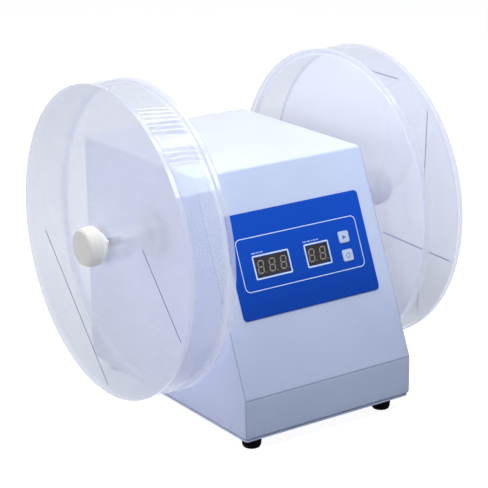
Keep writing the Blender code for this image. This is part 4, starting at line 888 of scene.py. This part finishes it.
def blade_face(direction, arc_radius, reaches):
    """Points along one face of the blade, from the ring to the wall, as (Y, height above the shaft)."""
    centre = Vector((math.cos(direction), math.sin(direction))) * SCOOP_RADIUS
    ends = []
    for out in reaches:
        cosine = (out**2 + SCOOP_RADIUS**2 - arc_radius**2) / (2 * out * SCOOP_RADIUS)
        bearing = direction + math.acos(cosine)
        meeting = Vector((math.cos(bearing), math.sin(bearing))) * out - centre
        ends.append(math.atan2(meeting.y, meeting.x))
    start, end = ends
    while end > start:
        end -= 2 * math.pi
    angles = [start + (end - start) * step / SCOOP_STEPS for step in range(SCOOP_STEPS + 1)]
    return [centre + Vector((math.cos(angle), math.sin(angle))) * arc_radius for angle in angles]


for side, sign in SIDES.items():
    node = f"{side}_drum_scoop"
    near, far = reach(node)
    ends = (radius(f"{side}_drum_centre_ring") + SCOOP_GAP, radius(f"{side}_drum_wall") - WALL - SCOOP_GAP)
    inside, outside = (
        blade_face(SCOOP_DIRECTION[side], SCOOP_RADIUS + extra, ends) for extra in (0.0, SCOOP_THICK)
    )
    sections = []
    for first, second in zip(inside, outside):
        corners = ((near, first), (far, first), (far, second), (near, second))
        sections.append([(sign * out, point.x, point.y + AXIS_HEIGHT) for out, point in corners])
    mesh = swept(f"{side}_scoop_blade", [sections])
    blade = make_piece(f"{side}_scoop_blade", mesh, "acrylic_blade", node, [node])
    bevel(blade, 0.4, angle=50.0)

# %% [markdown]
# ## Knobs and washers
#
# A nylon knob screws onto each end of the shaft and holds the lid through a thin washer. The knob's flank
# swells towards the middle, and its front corner is cut back to a narrow chamfer that catches the light.

# %% Knobs and washers
FACE_RADIUS = 15.8 * MM
CHAMFER = 1.6 * MM
NECK_RADIUS = 14.8 * MM
COLLAR_RADIUS = 10.0 * MM
COLLAR = 2.0 * MM
FRONT_TAPER, BACK_TAPER = 8.6 * MM, 6.5 * MM
KNOB_STEPS = 72

for side in SIDES:
    node = f"{side}_knob"
    near, far = reach(node)
    widest = radius(node)
    thread_end = reach("main_shaft")[1] + 0.3 * MM
    outline = [
        (far, 0.0), (far, FACE_RADIUS), (far - CHAMFER, FACE_RADIUS + CHAMFER), (far - FRONT_TAPER, widest),
        (near + BACK_TAPER, widest), (near + COLLAR, NECK_RADIUS), (near + COLLAR, COLLAR_RADIUS),
        (near, COLLAR_RADIUS), (near, SPINDLE_BORE), (thread_end, SPINDLE_BORE), (thread_end, 0.0),
    ]
    turned_piece(f"{side}_turned_knob", node, rounded(outline, 0.35 * MM), KNOB_STEPS, "cream_nylon")
    node = f"{side}_knob_washer"
    washer = ring_outline(SPINDLE_BORE, radius(node), *reach(node), 0.3 * MM)
    turned_piece(f"{side}_turned_washer", node, washer, SMALL_STEPS, "white_nylon")

# %% [markdown]
# ## Threads on the shaft
#
# Behind each lid the last stretch of the shaft carries the thread that the knob screws onto. Its solid is
# plain there. A turned zigzag stands a fifth of a millimetre proud of it; a true helix would look the same
# at this size and need a second rule.

# %% Threaded ends
THREAD_PITCH = 1.25 * MM
THREAD_TURNS = 11
THREAD_CORE, THREAD_ROOT, THREAD_CREST = 3.9 * MM, 4.0 * MM, 4.28 * MM

for side in SIDES:
    start = reach(f"{side}_drum_lid")[0] - 0.5 * MM
    end = start - THREAD_TURNS * THREAD_PITCH
    outline = [(start, THREAD_CORE)]
    for turn in range(THREAD_TURNS):
        root = start - turn * THREAD_PITCH
        outline += [(root, THREAD_ROOT), (root - 0.5 * THREAD_PITCH, THREAD_CREST)]
    outline += [(end, THREAD_ROOT), (end, THREAD_CORE), (start, THREAD_CORE)]
    thread = turned_mesh(f"{side}_thread", outline, side, SMALL_STEPS, "dark_steel")
    make_piece(f"{side}_thread", thread, "dark_steel", "main_shaft")
    print(side, "thread from", round(end, 4), "to", round(start, 4))

# %% [markdown]
# ## Feet
#
# Four rubber feet carry the machine. Each is a tapered plug with a round lower edge and a hollow for its
# screw. Things that repeat are set out by a second tree: it takes one model and puts a copy on every point
# of a start mesh.

# %% Setting out copies
setting_out, given = new_tree("Set out copies", {"Model": OBJECT})
model = add_node(setting_out, "GeometryNodeObjectInfo", sockets={"Object": given["Model"]})
to_points = add_node(setting_out, "GeometryNodeMeshToPoints", sockets={"Mesh": given["Geometry"]})
sockets = {"Points": to_points.outputs[0], "Instance": model.outputs["Geometry"]}
copies = add_node(setting_out, "GeometryNodeInstanceOnPoints", sockets=sockets)
finish_tree(setting_out, copies.outputs[0], given)


def set_out(name, model_mesh, places, finish, nodes):
    """One piece with a copy of a model at each place, which stands for the nodes."""
    model_object = bpy.data.objects.new("model", model_mesh)
    mesh = grown(setting_out, points_mesh(name, places), model=model_object, finish=FINISHES[finish])
    bpy.data.objects.remove(model_object)
    make_piece(name, mesh, finish, nodes[0], nodes)
    print(name, "at", [tuple(round(v, 4) for v in place) for place in places])


# %% Feet
STAND_UP = Matrix.Rotation(math.radians(-90), 4, "Y")
CORNERS = [f"{row}_{side}" for row in ("front", "rear") for side in SIDES]
FOOT_WEB = 6.5 * MM
FOOT_BORE, FOOT_HOLLOW = 2.3 * MM, 4.8 * MM

feet = [f"foot_{corner}" for corner in CORNERS]
low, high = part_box(feet[0])
height = high.z - low.z
foot_outline = [
    (FOOT_WEB, FOOT_BORE), (FOOT_WEB, FOOT_HOLLOW), (0.0, FOOT_HOLLOW), (0.0, 7.6 * MM),
    (2.2 * MM, 8.8 * MM), (height, 10.0 * MM), (height, FOOT_BORE), (FOOT_WEB, FOOT_BORE),
]
foot = turned_mesh("foot", rounded(foot_outline, 0.9 * MM), "right", SMALL_STEPS, "black_rubber", lift=0.0)
foot.transform(STAND_UP)
soles = [middle(node) * Vector((1.0, 1.0, 0.0)) + Vector((0.0, 0.0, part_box(node)[0].z)) for node in feet]
set_out("rubber_feet", foot, soles, "black_rubber", feet)

# %% [markdown]
# ## Screws with a cross recess
#
# Eight screws show from behind and from below. Drawing each would be dull work. The screw is turned once,
# a Boolean in a geometry tree sinks the cross into its head, and the tree above sets the copies out.

# %% Cross recess tree
crossing, given = new_tree("Sink a cross", {"Length": FLOAT, "Width": FLOAT, "Depth": FLOAT})
bars = []
for size_x, size_y in (("Length", "Width"), ("Width", "Length")):
    sockets = {"X": given[size_x], "Y": given[size_y], "Z": given["Depth"] * 2.0}
    size = add_node(crossing, "ShaderNodeCombineXYZ", sockets=sockets)
    bars.append(add_node(crossing, "GeometryNodeMeshCube", sockets={"Size": size.outputs[0]}).outputs["Mesh"])
finish_tree(crossing, cut_away(crossing, given["Geometry"], bars), given)


def cross_screw(shank, head, head_height, length, finish):
    """A pan head screw whose head's top is at the origin and whose shank runs down Z."""
    outline = [
        (0.0, 0.0), (0.0, 0.55 * head), (-0.45 * head_height, head), (-head_height, head),
        (-head_height, shank), (-length + 0.5 * shank, shank), (-length, 0.0),
    ]
    mesh = turned_mesh("screw", rounded(outline, 0.25 * head_height), "right", 32, finish, lift=0.0)
    mesh.transform(STAND_UP)
    return grown(
        crossing, mesh, length=1.0 * head, width=0.26 * head, depth=0.55 * head_height,
        finish=FINISHES[finish],
    )


# %% Screws behind and below
REAR_SCREWS = [f"rear_screw_{row}_{side}" for row in ("upper", "lower") for side in SIDES]
FOOT_SCREWS = [f"foot_{corner}_screw" for corner in CORNERS]
SCREWS = (
    ("rear_screws", REAR_SCREWS, Vector((0.0, 1.0, 0.0)), -90, (1.5, 3.0, 1.8)),
    ("foot_screws", FOOT_SCREWS, Vector((0.0, 0.0, -1.0)), 180, (2.0, 4.0, 2.4)),
)
for name, nodes, outward, tilt, (shank, head, head_height) in SCREWS:
    low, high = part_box(nodes[0])
    length = abs((high - low).dot(outward))
    screw = cross_screw(shank * MM, head * MM, head_height * MM, length, "zinc_steel")
    screw.transform(Matrix.Rotation(math.radians(tilt), 4, "X"))
    tops = [middle(node) + outward * length / 2 for node in nodes]
    set_out(name, screw, tops, "zinc_steel", nodes)

# %% [markdown]
# ## The control label
#
# The slanted face carries a blue printed film with a thin pale line round its controls and a broad pale
# border round each display. The film keeps its solid's shape. Print could be painted by a mask in the
# shader, but real ink has a hard edge at any zoom, so it is made as very thin frames that lie on the film.
# Everything on the slope is drawn flat in a frame of its own: X across, Y up the slope, Z out of it.

# %% The slope's own frame
slope_out = Vector((0.0, -math.cos(LEAN), math.sin(LEAN)))
slope_up = Vector((0.0, math.sin(LEAN), math.cos(LEAN)))
slope_axes = Matrix((Vector((1.0, 0.0, 0.0)), slope_up, slope_out)).transposed().to_4x4()
SLOPE = Matrix.Translation(middle("control_label") + slope_out * LABEL_HALF) @ slope_axes
print("label's front at", [round(v, 4) for v in SLOPE.translation])

smooth_copy("control_label", "printed_label")


def front_of(node):
    """How far a solid on the slope stands out of the label's front."""
    back_to_slope = SLOPE.inverted()
    return max((back_to_slope @ v.co).z for v in frame["nodes"][node].data.vertices)


def middle_of(node):
    """Where a solid on the slope has its middle, across and up."""
    return (SLOPE.inverted() @ middle(node)).xy


# %% [markdown]
# ## Frame lines
#
# A frame line follows a rule: a rounded rectangle swept with a flat section. One tree makes the three on the
# label, and later the ring on the rocker, from a width, a height, a corner and a line.


# %% Frame line tree
def joined(tree, parts):
    """Several geometries as one."""
    join = add_node(tree, "GeometryNodeJoinGeometry")
    for part in parts:
        feed(tree, join.inputs[0], part)
    return join.outputs[0]


sizes = ("Width", "Height", "Corner", "Line", "Thickness")
framing, given = new_tree("Frame line", {name: FLOAT for name in sizes})
rims = []
for grow in (1.0, -1.0):
    sockets = {name: given[name] + given["Line"] * grow for name in ("Width", "Height")}
    box = add_node(framing, "GeometryNodeCurvePrimitiveQuadrilateral", sockets=sockets)
    corner = given["Corner"] + given["Line"] * (0.5 * grow)
    sockets = {"Curve": box.outputs[0], "Count": 8, "Radius": corner}
    rims.append(add_node(framing, "GeometryNodeFilletCurve", {"mode": "POLY"}, sockets).outputs[0])
filled = add_node(framing, "GeometryNodeFillCurve", sockets={"Curve": joined(framing, rims)}).outputs[0]
sockets = {"Mesh": filled, "Offset Scale": given["Thickness"], "Individual": False}
raised = add_node(framing, "GeometryNodeExtrudeMesh", {"mode": "FACES"}, sockets).outputs[0]
turned_over = add_node(framing, "GeometryNodeFlipFaces", sockets={"Mesh": filled}).outputs[0]
sockets = {"Geometry": joined(framing, [raised, turned_over]), "Distance": 0.001 * MM}
welded = add_node(framing, "GeometryNodeMergeByDistance", sockets=sockets)
finish_tree(framing, welded.outputs[0], given)

# %% Frame lines
INK = 0.04 * MM
DISPLAYS = {"display_three_digit": 37.6 * MM, "display_two_digit": 25.0 * MM}
BORDER_LINE = 1.4 * MM
BORDER_MARGIN = 2.0 * MM


def on_slope(mesh, across, up, out=0.0):
    """Lays a flat mesh on the label at the given place."""
    mesh.transform(SLOPE @ Matrix.Translation((across, up, out - 0.5 * INK)))
    return closed_mesh(mesh.name, mesh)


def framed(name, width, height, corner, line):
    """A flat frame line as a mesh."""
    mesh = grown(
        framing, points_mesh(name), width=width, height=height, corner=corner, line=line, thickness=INK,
        finish=FINISHES["white_ink"],
    )
    mesh.name = name
    return mesh


outer_frame = framed("print_outer_frame", 136.8 * MM, 48.8 * MM, 5.0 * MM, 0.75 * MM)
outer_frame = on_slope(outer_frame, -0.4 * MM, 0.8 * MM)
make_piece("print_outer_frame", outer_frame, "white_ink", "control_label")
for node, width in DISPLAYS.items():
    border = framed(f"print_{node}", width + BORDER_MARGIN, 21.0 * MM, 0.9 * MM, BORDER_LINE)
    make_piece(f"print_{node}", on_slope(border, *middle_of(node)), "white_ink", "control_label")
print("frame lines:", 1 + len(DISPLAYS))

# %% [markdown]
# ## Small marks
#
# Short dashes stand over the displays, a triangle on the start key and an open ring with an arrow head on
# the reset key. Each is a flat outline given the thickness of ink. Mesh code is plainest here, because every
# mark is different and none needs more than a few points.


# %% Flat marks
def mark_mesh(name, outlines):
    """Flat outlines of (x, y) points raised to ink."""
    return swept(name, [[[(x, y, z) for x, y in outline] for z in (0.0, INK)] for outline in outlines])


def oblong(left, right, bottom, top):
    """A rectangle as an outline."""
    return [(left, bottom), (right, bottom), (right, top), (left, top)]


def ring_arrow(size, line, gap_degrees=70, pieces=20):
    """An open ring with an arrow head, as outlines."""
    sweep = math.radians(360 - gap_degrees)
    begin = math.radians(90 - gap_degrees / 2)
    angles = [begin - sweep * step / pieces for step in range(pieces + 1)]
    outer, inner = (
        [(r * math.cos(angle), r * math.sin(angle)) for angle in angles]
        for r in (size + line / 2, size - line / 2)
    )
    outlines = [[outer[i], outer[i + 1], inner[i + 1], inner[i]] for i in range(pieces)]
    tip = Vector((math.cos(begin), math.sin(begin)))
    along = Vector((-tip.y, tip.x))
    head = [tip * (size - 1.6 * line), tip * (size + 1.6 * line), tip * size + along * 2.4 * line]
    return outlines + [[tuple(point) for point in head]]


DASHES = {
    "display_three_digit": (-20.0, [(0.0, 4.6), (5.4, 7.2), (8.0, 9.4), (10.2, 12.6)]),
    "display_two_digit": (-14.0, [(0.0, 3.8), (4.6, 8.2), (9.2, 10.6), (11.4, 14.4), (15.2, 17.8)]),
}
DASH_HALF = 0.55 * MM
DASH_RISE = 13.4 * MM
for node, (start, dashes) in DASHES.items():
    across, up = middle_of(node)
    mesh = mark_mesh(f"caption_{node}", [oblong(a * MM, b * MM, -DASH_HALF, DASH_HALF) for a, b in dashes])
    mesh = on_slope(mesh, across + start * MM, up + DASH_RISE)
    make_piece(f"caption_{node}", mesh, "faint_ink", "control_label")
print("dashes over", len(DASHES), "displays")

# %% [markdown]
# ## Seven segment digits
#
# Each display is a block of unlit digits: grey segments in a nearly black face. A segment is a bar with
# pointed ends, and seven of them in a fixed layout make an eight, so the digits follow a rule. The tree
# numbers its points: the remainder by seven says which segment a point carries, and the quotient which digit
# it belongs to. Leaning the result a little gives the usual slant.

# %% Digit tree
sizes = {name: FLOAT for name in ("Pitch", "Width", "Height", "Slant")}
digits, given = new_tree("Seven segment digits", {"Segment": OBJECT, "Count": INTEGER, **sizes})
number, wide, tall, lean = (given[name] for name in ("Count", "Width", "Height", "Slant"))
index = Value(digits, add_node(digits, "GeometryNodeInputIndex").outputs[0])
segment = index % 7.0
digit = (index / 7.0).sum("FLOOR")
upright = segment > 2.5
level_up = (1.0 - segment) * tall * 0.5
side_sign = (segment > 4.5) * 2.0 - 1.0
half_sign = (segment % 2.0) * 2.0 - 1.0
across = (digit - (number - 1.0) * 0.5) * given["Pitch"] + upright * side_sign * wide * 0.5
up = upright * half_sign * tall * 0.25 + (1.0 - upright) * level_up
spot = add_node(digits, "ShaderNodeCombineXYZ", sockets={"X": across + up * lean, "Y": up})
turned = upright * (math.pi / 2.0 - lean.sum("ARCTANGENT"))
turn = add_node(digits, "ShaderNodeCombineXYZ", sockets={"Z": turned})
dots = add_node(digits, "GeometryNodePoints", sockets={"Count": number * 7.0, "Position": spot.outputs[0]})
bar = add_node(digits, "GeometryNodeObjectInfo", sockets={"Object": given["Segment"]})
rotation = add_node(digits, "FunctionNodeEulerToRotation", sockets={"Euler": turn.outputs[0]})
sockets = {"Points": dots.outputs[0], "Instance": bar.outputs["Geometry"], "Rotation": rotation.outputs[0]}
placed = add_node(digits, "GeometryNodeInstanceOnPoints", sockets=sockets)
finish_tree(digits, placed.outputs[0], given)

# %% Digits and their dots
DIGIT_PITCH = 12.7 * MM
DIGIT_WIDTH = 5.8 * MM
DIGIT_HEIGHT = 11.4 * MM
SEGMENT_HALF = 2.55 * MM
SEGMENT_THICK = 0.62 * MM
SLANT = 0.12
DOT_RADIUS = 0.55 * MM
DOT_ASIDE = 4.6 * MM

shoulder = SEGMENT_HALF - SEGMENT_THICK
bar_outline = [(-SEGMENT_HALF, 0.0), (-shoulder, -SEGMENT_THICK), (shoulder, -SEGMENT_THICK)]
bar_outline += [(-x, -y) for x, y in bar_outline]
for node, digit_count, nudge in (("display_three_digit", 3, 0.4 * MM), ("display_two_digit", 2, -0.4 * MM)):
    name = f"digits_{node}"
    segment_object = bpy.data.objects.new("segment", mark_mesh("segment", [bar_outline]))
    mesh = grown(
        digits, points_mesh(name), segment=segment_object, count=digit_count, pitch=DIGIT_PITCH,
        width=DIGIT_WIDTH, height=DIGIT_HEIGHT, slant=SLANT, finish=FINISHES["display_segment"],
    )
    bpy.data.objects.remove(segment_object)
    shape = bmesh.new()
    shape.from_mesh(mesh)
    for place in range(digit_count):
        aside = (place - (digit_count - 1) / 2) * DIGIT_PITCH + DOT_ASIDE
        bmesh.ops.create_cone(
            shape, cap_ends=True, segments=16, radius1=DOT_RADIUS, radius2=DOT_RADIUS, depth=INK,
            matrix=Matrix.Translation((aside, -DIGIT_HEIGHT / 2, INK / 2)),
        )
    across, up = middle_of(node)
    mesh = on_slope(closed_mesh(name, shape), across + nudge, up, front_of(node))
    make_piece(name, mesh, "display_segment", node)
    print(node, "digits", digit_count, "faces", len(mesh.polygons))

# %% [markdown]
# ## Push buttons
#
# Two small square keys stand less than a millimetre out of the film. Their solids have sharp edges, so a
# Bevel modifier on a merged copy rounds them, and each gets its mark in dull violet ink.

# %% Buttons
BUTTON_MARKS = {
    "start_button": [[(-1.8 * MM, -2.2 * MM), (2.4 * MM, 0.0), (-1.8 * MM, 2.2 * MM)]],
    "reset_button": ring_arrow(2.1 * MM, 0.7 * MM),
}
for node, outlines in BUTTON_MARKS.items():
    bevel(smooth_copy(node, f"{node}_key", 40.0), 0.35, angle=60.0, segments=3)
    mesh = on_slope(mark_mesh(f"{node}_mark", outlines), *middle_of(node), front_of(node))
    make_piece(f"{node}_mark", mesh, "button_ink", node)
print("buttons marked:", list(BUTTON_MARKS))

# %% [markdown]
# ## Fittings at the back
#
# The mains inlet's three pins are plated brass in a black body. Both are one solid, so the faces deep in the
# socket, away from its walls, take a second finish. The rocker carries the usual stroke and ring for on and
# off. Their places come from the rocker's own two faces: the mean of the triangles that look backwards,
# above and below its pivot, gives a middle and a direction.

# %% Inlet pins and rocker marks
PIN_DEPTHS = (2 * MM, 15.9 * MM)
PIN_FIELD = (8.5 * MM, 6 * MM)
STROKE = oblong(-0.4 * MM, 0.4 * MM, -1.5 * MM, 1.5 * MM)
LEAST_FACE = 4 * MM * MM

inlet_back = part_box("power_inlet")[1].y
inlet_middle = middle("power_inlet")


def is_pin(place):
    """Whether a face of the inlet lies deep in the socket and away from its walls."""
    deep = PIN_DEPTHS[0] < inlet_back - place.y < PIN_DEPTHS[1]
    beside = abs(place.x - inlet_middle.x) < PIN_FIELD[0]
    return deep and beside and abs(place.z - inlet_middle.z) < PIN_FIELD[1]


print("inlet pin faces", second_finish(bpy.data.objects["soft_power_inlet"], "zinc_steel", is_pin))

rocker = frame["nodes"]["power_rocker"].data
pivot_height = middle("power_rocker").z
across = Vector((-1.0, 0.0, 0.0))
ring = framed("rocker_ring", 2.6 * MM, 2.6 * MM, 1.28 * MM, 0.3 * MM)
marks = {"rocker_stroke": (mark_mesh("rocker_stroke", [STROKE]), 1.0), "rocker_ring": (ring, -1.0)}
for name, (mesh, sign) in marks.items():
    looking = [
        face for face in rocker.polygons
        if face.normal.y > 0.6 and (face.center.z - pivot_height) * sign > 0 and face.area > LEAST_FACE
    ]
    total = sum(face.area for face in looking)
    place = sum((face.center * face.area for face in looking), Vector()) / total
    outward = sum((face.normal * face.area for face in looking), Vector()).normalized()
    axes = Matrix((across, outward.cross(across), outward)).transposed().to_4x4()
    mesh.transform(Matrix.Translation(place) @ axes)
    make_piece(name, closed_mesh(name, mesh), "white_ink", "power_rocker")
    print(name, "at", [round(v, 4) for v in place])

# %% [markdown]
# ## Pen lines
#
# Thin lines are ruled on the lids with a violet marker, to line up the drums. They are strips of ink a
# millimetre wide, on the outer face of the left lid and the inner face of the right one. Their ends are
# given in millimetres from the shaft, along Y and up.

# %% Pen lines on the lids
PEN_LINES = {
    "left": [((108.5, -14.0), (-1.8, -138.9)), ((-71.2, 13.0), (-131.6, -56.4))],
    "right": [
        ((-15.0, 124.8), (-55.0, 123.7)), ((-99.5, 100.8), (-96.5, 31.5)),
        ((-91.5, -84.0), (-90.4, -106.7)), ((-35.7, -36.2), (-136.0, -40.4)),
    ],
}
PEN_WIDTH = 1.0 * MM
PEN_SUNK, PEN_PROUD = 0.01 * MM, 0.02 * MM

for side, sign in SIDES.items():
    node = f"{side}_drum_lid"
    face = reach(node)[1] if side == "left" else reach(node)[0] - PEN_SUNK
    strips = []
    for start, end in PEN_LINES[side]:
        start, end = Vector(start) * MM, Vector(end) * MM
        aside = Vector((start.y - end.y, end.x - start.x)).normalized() * PEN_WIDTH / 2
        corners = [start + aside, end + aside, end - aside, start - aside]
        strips.append([
            [(sign * out, point.x, point.y + AXIS_HEIGHT) for point in corners]
            for out in (face - PEN_SUNK, face + PEN_PROUD)
        ])
    make_piece(f"{side}_pen_lines", swept(f"{side}_pen_lines", strips), "pen_ink", node)
    print(side, "pen lines:", len(strips))

# %% [markdown]
# ## Clear sheets and their shadows
#
# An alpha takes as much light from what stands behind a sheet as it hides from the eye. Hazy acrylic doesn't:
# most of what it scatters still goes forward. So the clear pieces cast no shadow, and the knobs and the sides
# of the housing behind them are lit as they are in the photograph.

# %% No shadow from clear pieces
clear = [
    piece for piece in bpy.data.objects
    if piece.type == "MESH" and any("acrylic" in finish.name for finish in piece.data.materials if finish)
]
for piece in clear:
    piece.visible_shadow = False
print("clear pieces:", len(clear))

# %% [markdown]
# ## The studio
#
# The photograph was taken on a white sweep. The slanted face is bright near its upper edge and falls off
# quickly, so the main light is a small soft box close above the front; the top face is lit from overhead,
# and the left side and lid by a cool light low on the left. A weak one fills the far side. The floor below
# is the sweep: to the camera and in reflections it is nearly white, and it still takes a faint shadow; to the
# object it is a mid grey, so that it doesn't light the underside too much. The air round it does the same.

# %% Floor
FLOOR_SIZE = 14.0
FLOOR_GLOW = 0.93


def new_material(name):
    """An empty material on nodes, and its tree."""
    material = bpy.data.materials.new(name)
    material.use_nodes = True
    material.node_tree.nodes.clear()
    return material, material.node_tree


def seen_by_eye(tree):
    """1 for the rays that show the background: from the camera, off a gloss and through a clear sheet."""
    path = add_node(tree, "ShaderNodeLightPath")
    rays = ("Is Camera Ray", "Is Glossy Ray", "Is Transmission Ray")
    straight, glossy, passing = (Value(tree, path.outputs[ray]) for ray in rays)
    return (straight + glossy + passing).sum("MINIMUM", 1.0)


bpy.ops.mesh.primitive_plane_add(size=FLOOR_SIZE)
floor = bpy.context.object
floor.name = "floor"
sweep, tree = new_material("sweep")
shaded = add_node(tree, "ShaderNodeBsdfDiffuse", sockets={"Color": (0.42, 0.42, 0.43, 1.0)})
sockets = {"Color": (1.0, 1.0, 1.0, 1.0), "Strength": FLOOR_GLOW}
glow = add_node(tree, "ShaderNodeEmission", sockets=sockets)
white = add_node(tree, "ShaderNodeAddShader", sockets={0: shaded.outputs[0], 1: glow.outputs[0]})
dim = add_node(tree, "ShaderNodeBsdfDiffuse", sockets={"Color": (0.42, 0.45, 0.51, 1.0)})
sockets = {0: seen_by_eye(tree), 1: dim.outputs[0], 2: white.outputs[0]}
blend = add_node(tree, "ShaderNodeMixShader", sockets=sockets)
add_node(tree, "ShaderNodeOutputMaterial", sockets={"Surface": blend.outputs[0]})
floor.data.materials.append(sweep)
print("floor", FLOOR_SIZE, "m wide")

# %% World
AIR_LIGHT = 0.1

world = bpy.data.worlds.new("studio")
bpy.context.scene.world = world
world.use_nodes = True
tree = world.node_tree
seen = seen_by_eye(tree)
air = tree.nodes["Background"]
feed(tree, air.inputs["Color"], mixed(tree, seen, (0.70, 0.80, 1.0), (1.0, 1.0, 1.0)))
feed(tree, air.inputs["Strength"], seen * (1.0 - AIR_LIGHT) + AIR_LIGHT)
print("air lights at", AIR_LIGHT)


# %% Lamps
def lamp(name, place, target, size, power, colour, mirrored=True):
    """A rectangular soft box that looks at a target."""
    light = bpy.data.objects.new(name, bpy.data.lights.new(name, "AREA"))
    light.data.shape = "RECTANGLE"
    light.data.size, light.data.size_y = size
    light.data.energy = power
    light.data.color = colour
    direction = Vector(target) - Vector(place)
    turn = direction.to_track_quat("-Z", "Y").to_matrix().to_4x4()
    light.matrix_world = Matrix.Translation(place) @ turn
    light.visible_glossy = mirrored
    bpy.context.scene.collection.objects.link(light)


aim = (0.0, 0.0, 0.2)
lamp("overhead_box", (-0.2, 0.35, 1.7), aim, (1.6, 1.6), 9.8, (1.0, 0.95, 0.77), mirrored=False)
lamp("top_box", (-0.05, 0.28, 0.95), (0.0, 0.10, 0.2), (0.5, 0.5), 3.4, (1.0, 0.98, 0.96), mirrored=False)
lamp("near_box", (0.02, -0.40, 0.61), (0.0, -0.08, 0.24), (0.4, 0.2), 2.3, (0.78, 0.90, 1.0))
lamp("left_box", (-1.6, 0.1, 0.3), aim, (0.9, 0.6), 7.8, (0.86, 0.92, 1.0))
lamp("right_box", (1.7, 0.5, 0.35), aim, (0.9, 0.6), 1.6, (0.90, 0.94, 1.0), mirrored=False)
bpy.context.scene.view_settings.view_transform = "Standard"
bpy.context.scene.cycles.transparent_max_bounces = 32

# %% [markdown]
# ## A slatted light for the acrylic
#
# The upper right of the left drum mirrors a slatted ceiling light in fine bright lines. A lamp can't carry a
# pattern, so a plane does: its emission is switched by a repeating step over its own Y, with one broad band.
# It is only there for reflections, so neither the camera nor the matt surfaces see it.

# %% Slatted ceiling light
SLAT_PITCH = 0.11
BAND_PLACE = -0.12
SLAT_STRENGTH = 11.0

bpy.ops.mesh.primitive_plane_add(size=1.0, location=(0.55, -0.13, 1.5))
ceiling = bpy.context.object
ceiling.name = "slatted_light"
ceiling.data.transform(Matrix.Diagonal((0.6, 1.3, 1.0, 1.0)))
slats, tree = new_material("slats")
coordinates = add_node(tree, "ShaderNodeTexCoord").outputs["Object"]
along = Value(tree, add_node(tree, "ShaderNodeSeparateXYZ", sockets={0: coordinates}).outputs["Y"])
stripe = (along % SLAT_PITCH).step(0.070, 0.078) + (1.0 - abs(along - BAND_PLACE).step(0.08, 0.10))
shine = stripe.sum("MINIMUM", 1.0) * SLAT_STRENGTH
glow = add_node(tree, "ShaderNodeEmission", sockets={"Color": (1.0, 0.98, 0.96, 1.0), "Strength": shine})
add_node(tree, "ShaderNodeOutputMaterial", sockets={"Surface": glow.outputs[0]})
ceiling.data.materials.append(slats)
ceiling.visible_camera = ceiling.visible_diffuse = ceiling.visible_shadow = False
print("slatted light at", tuple(round(v, 2) for v in ceiling.location))
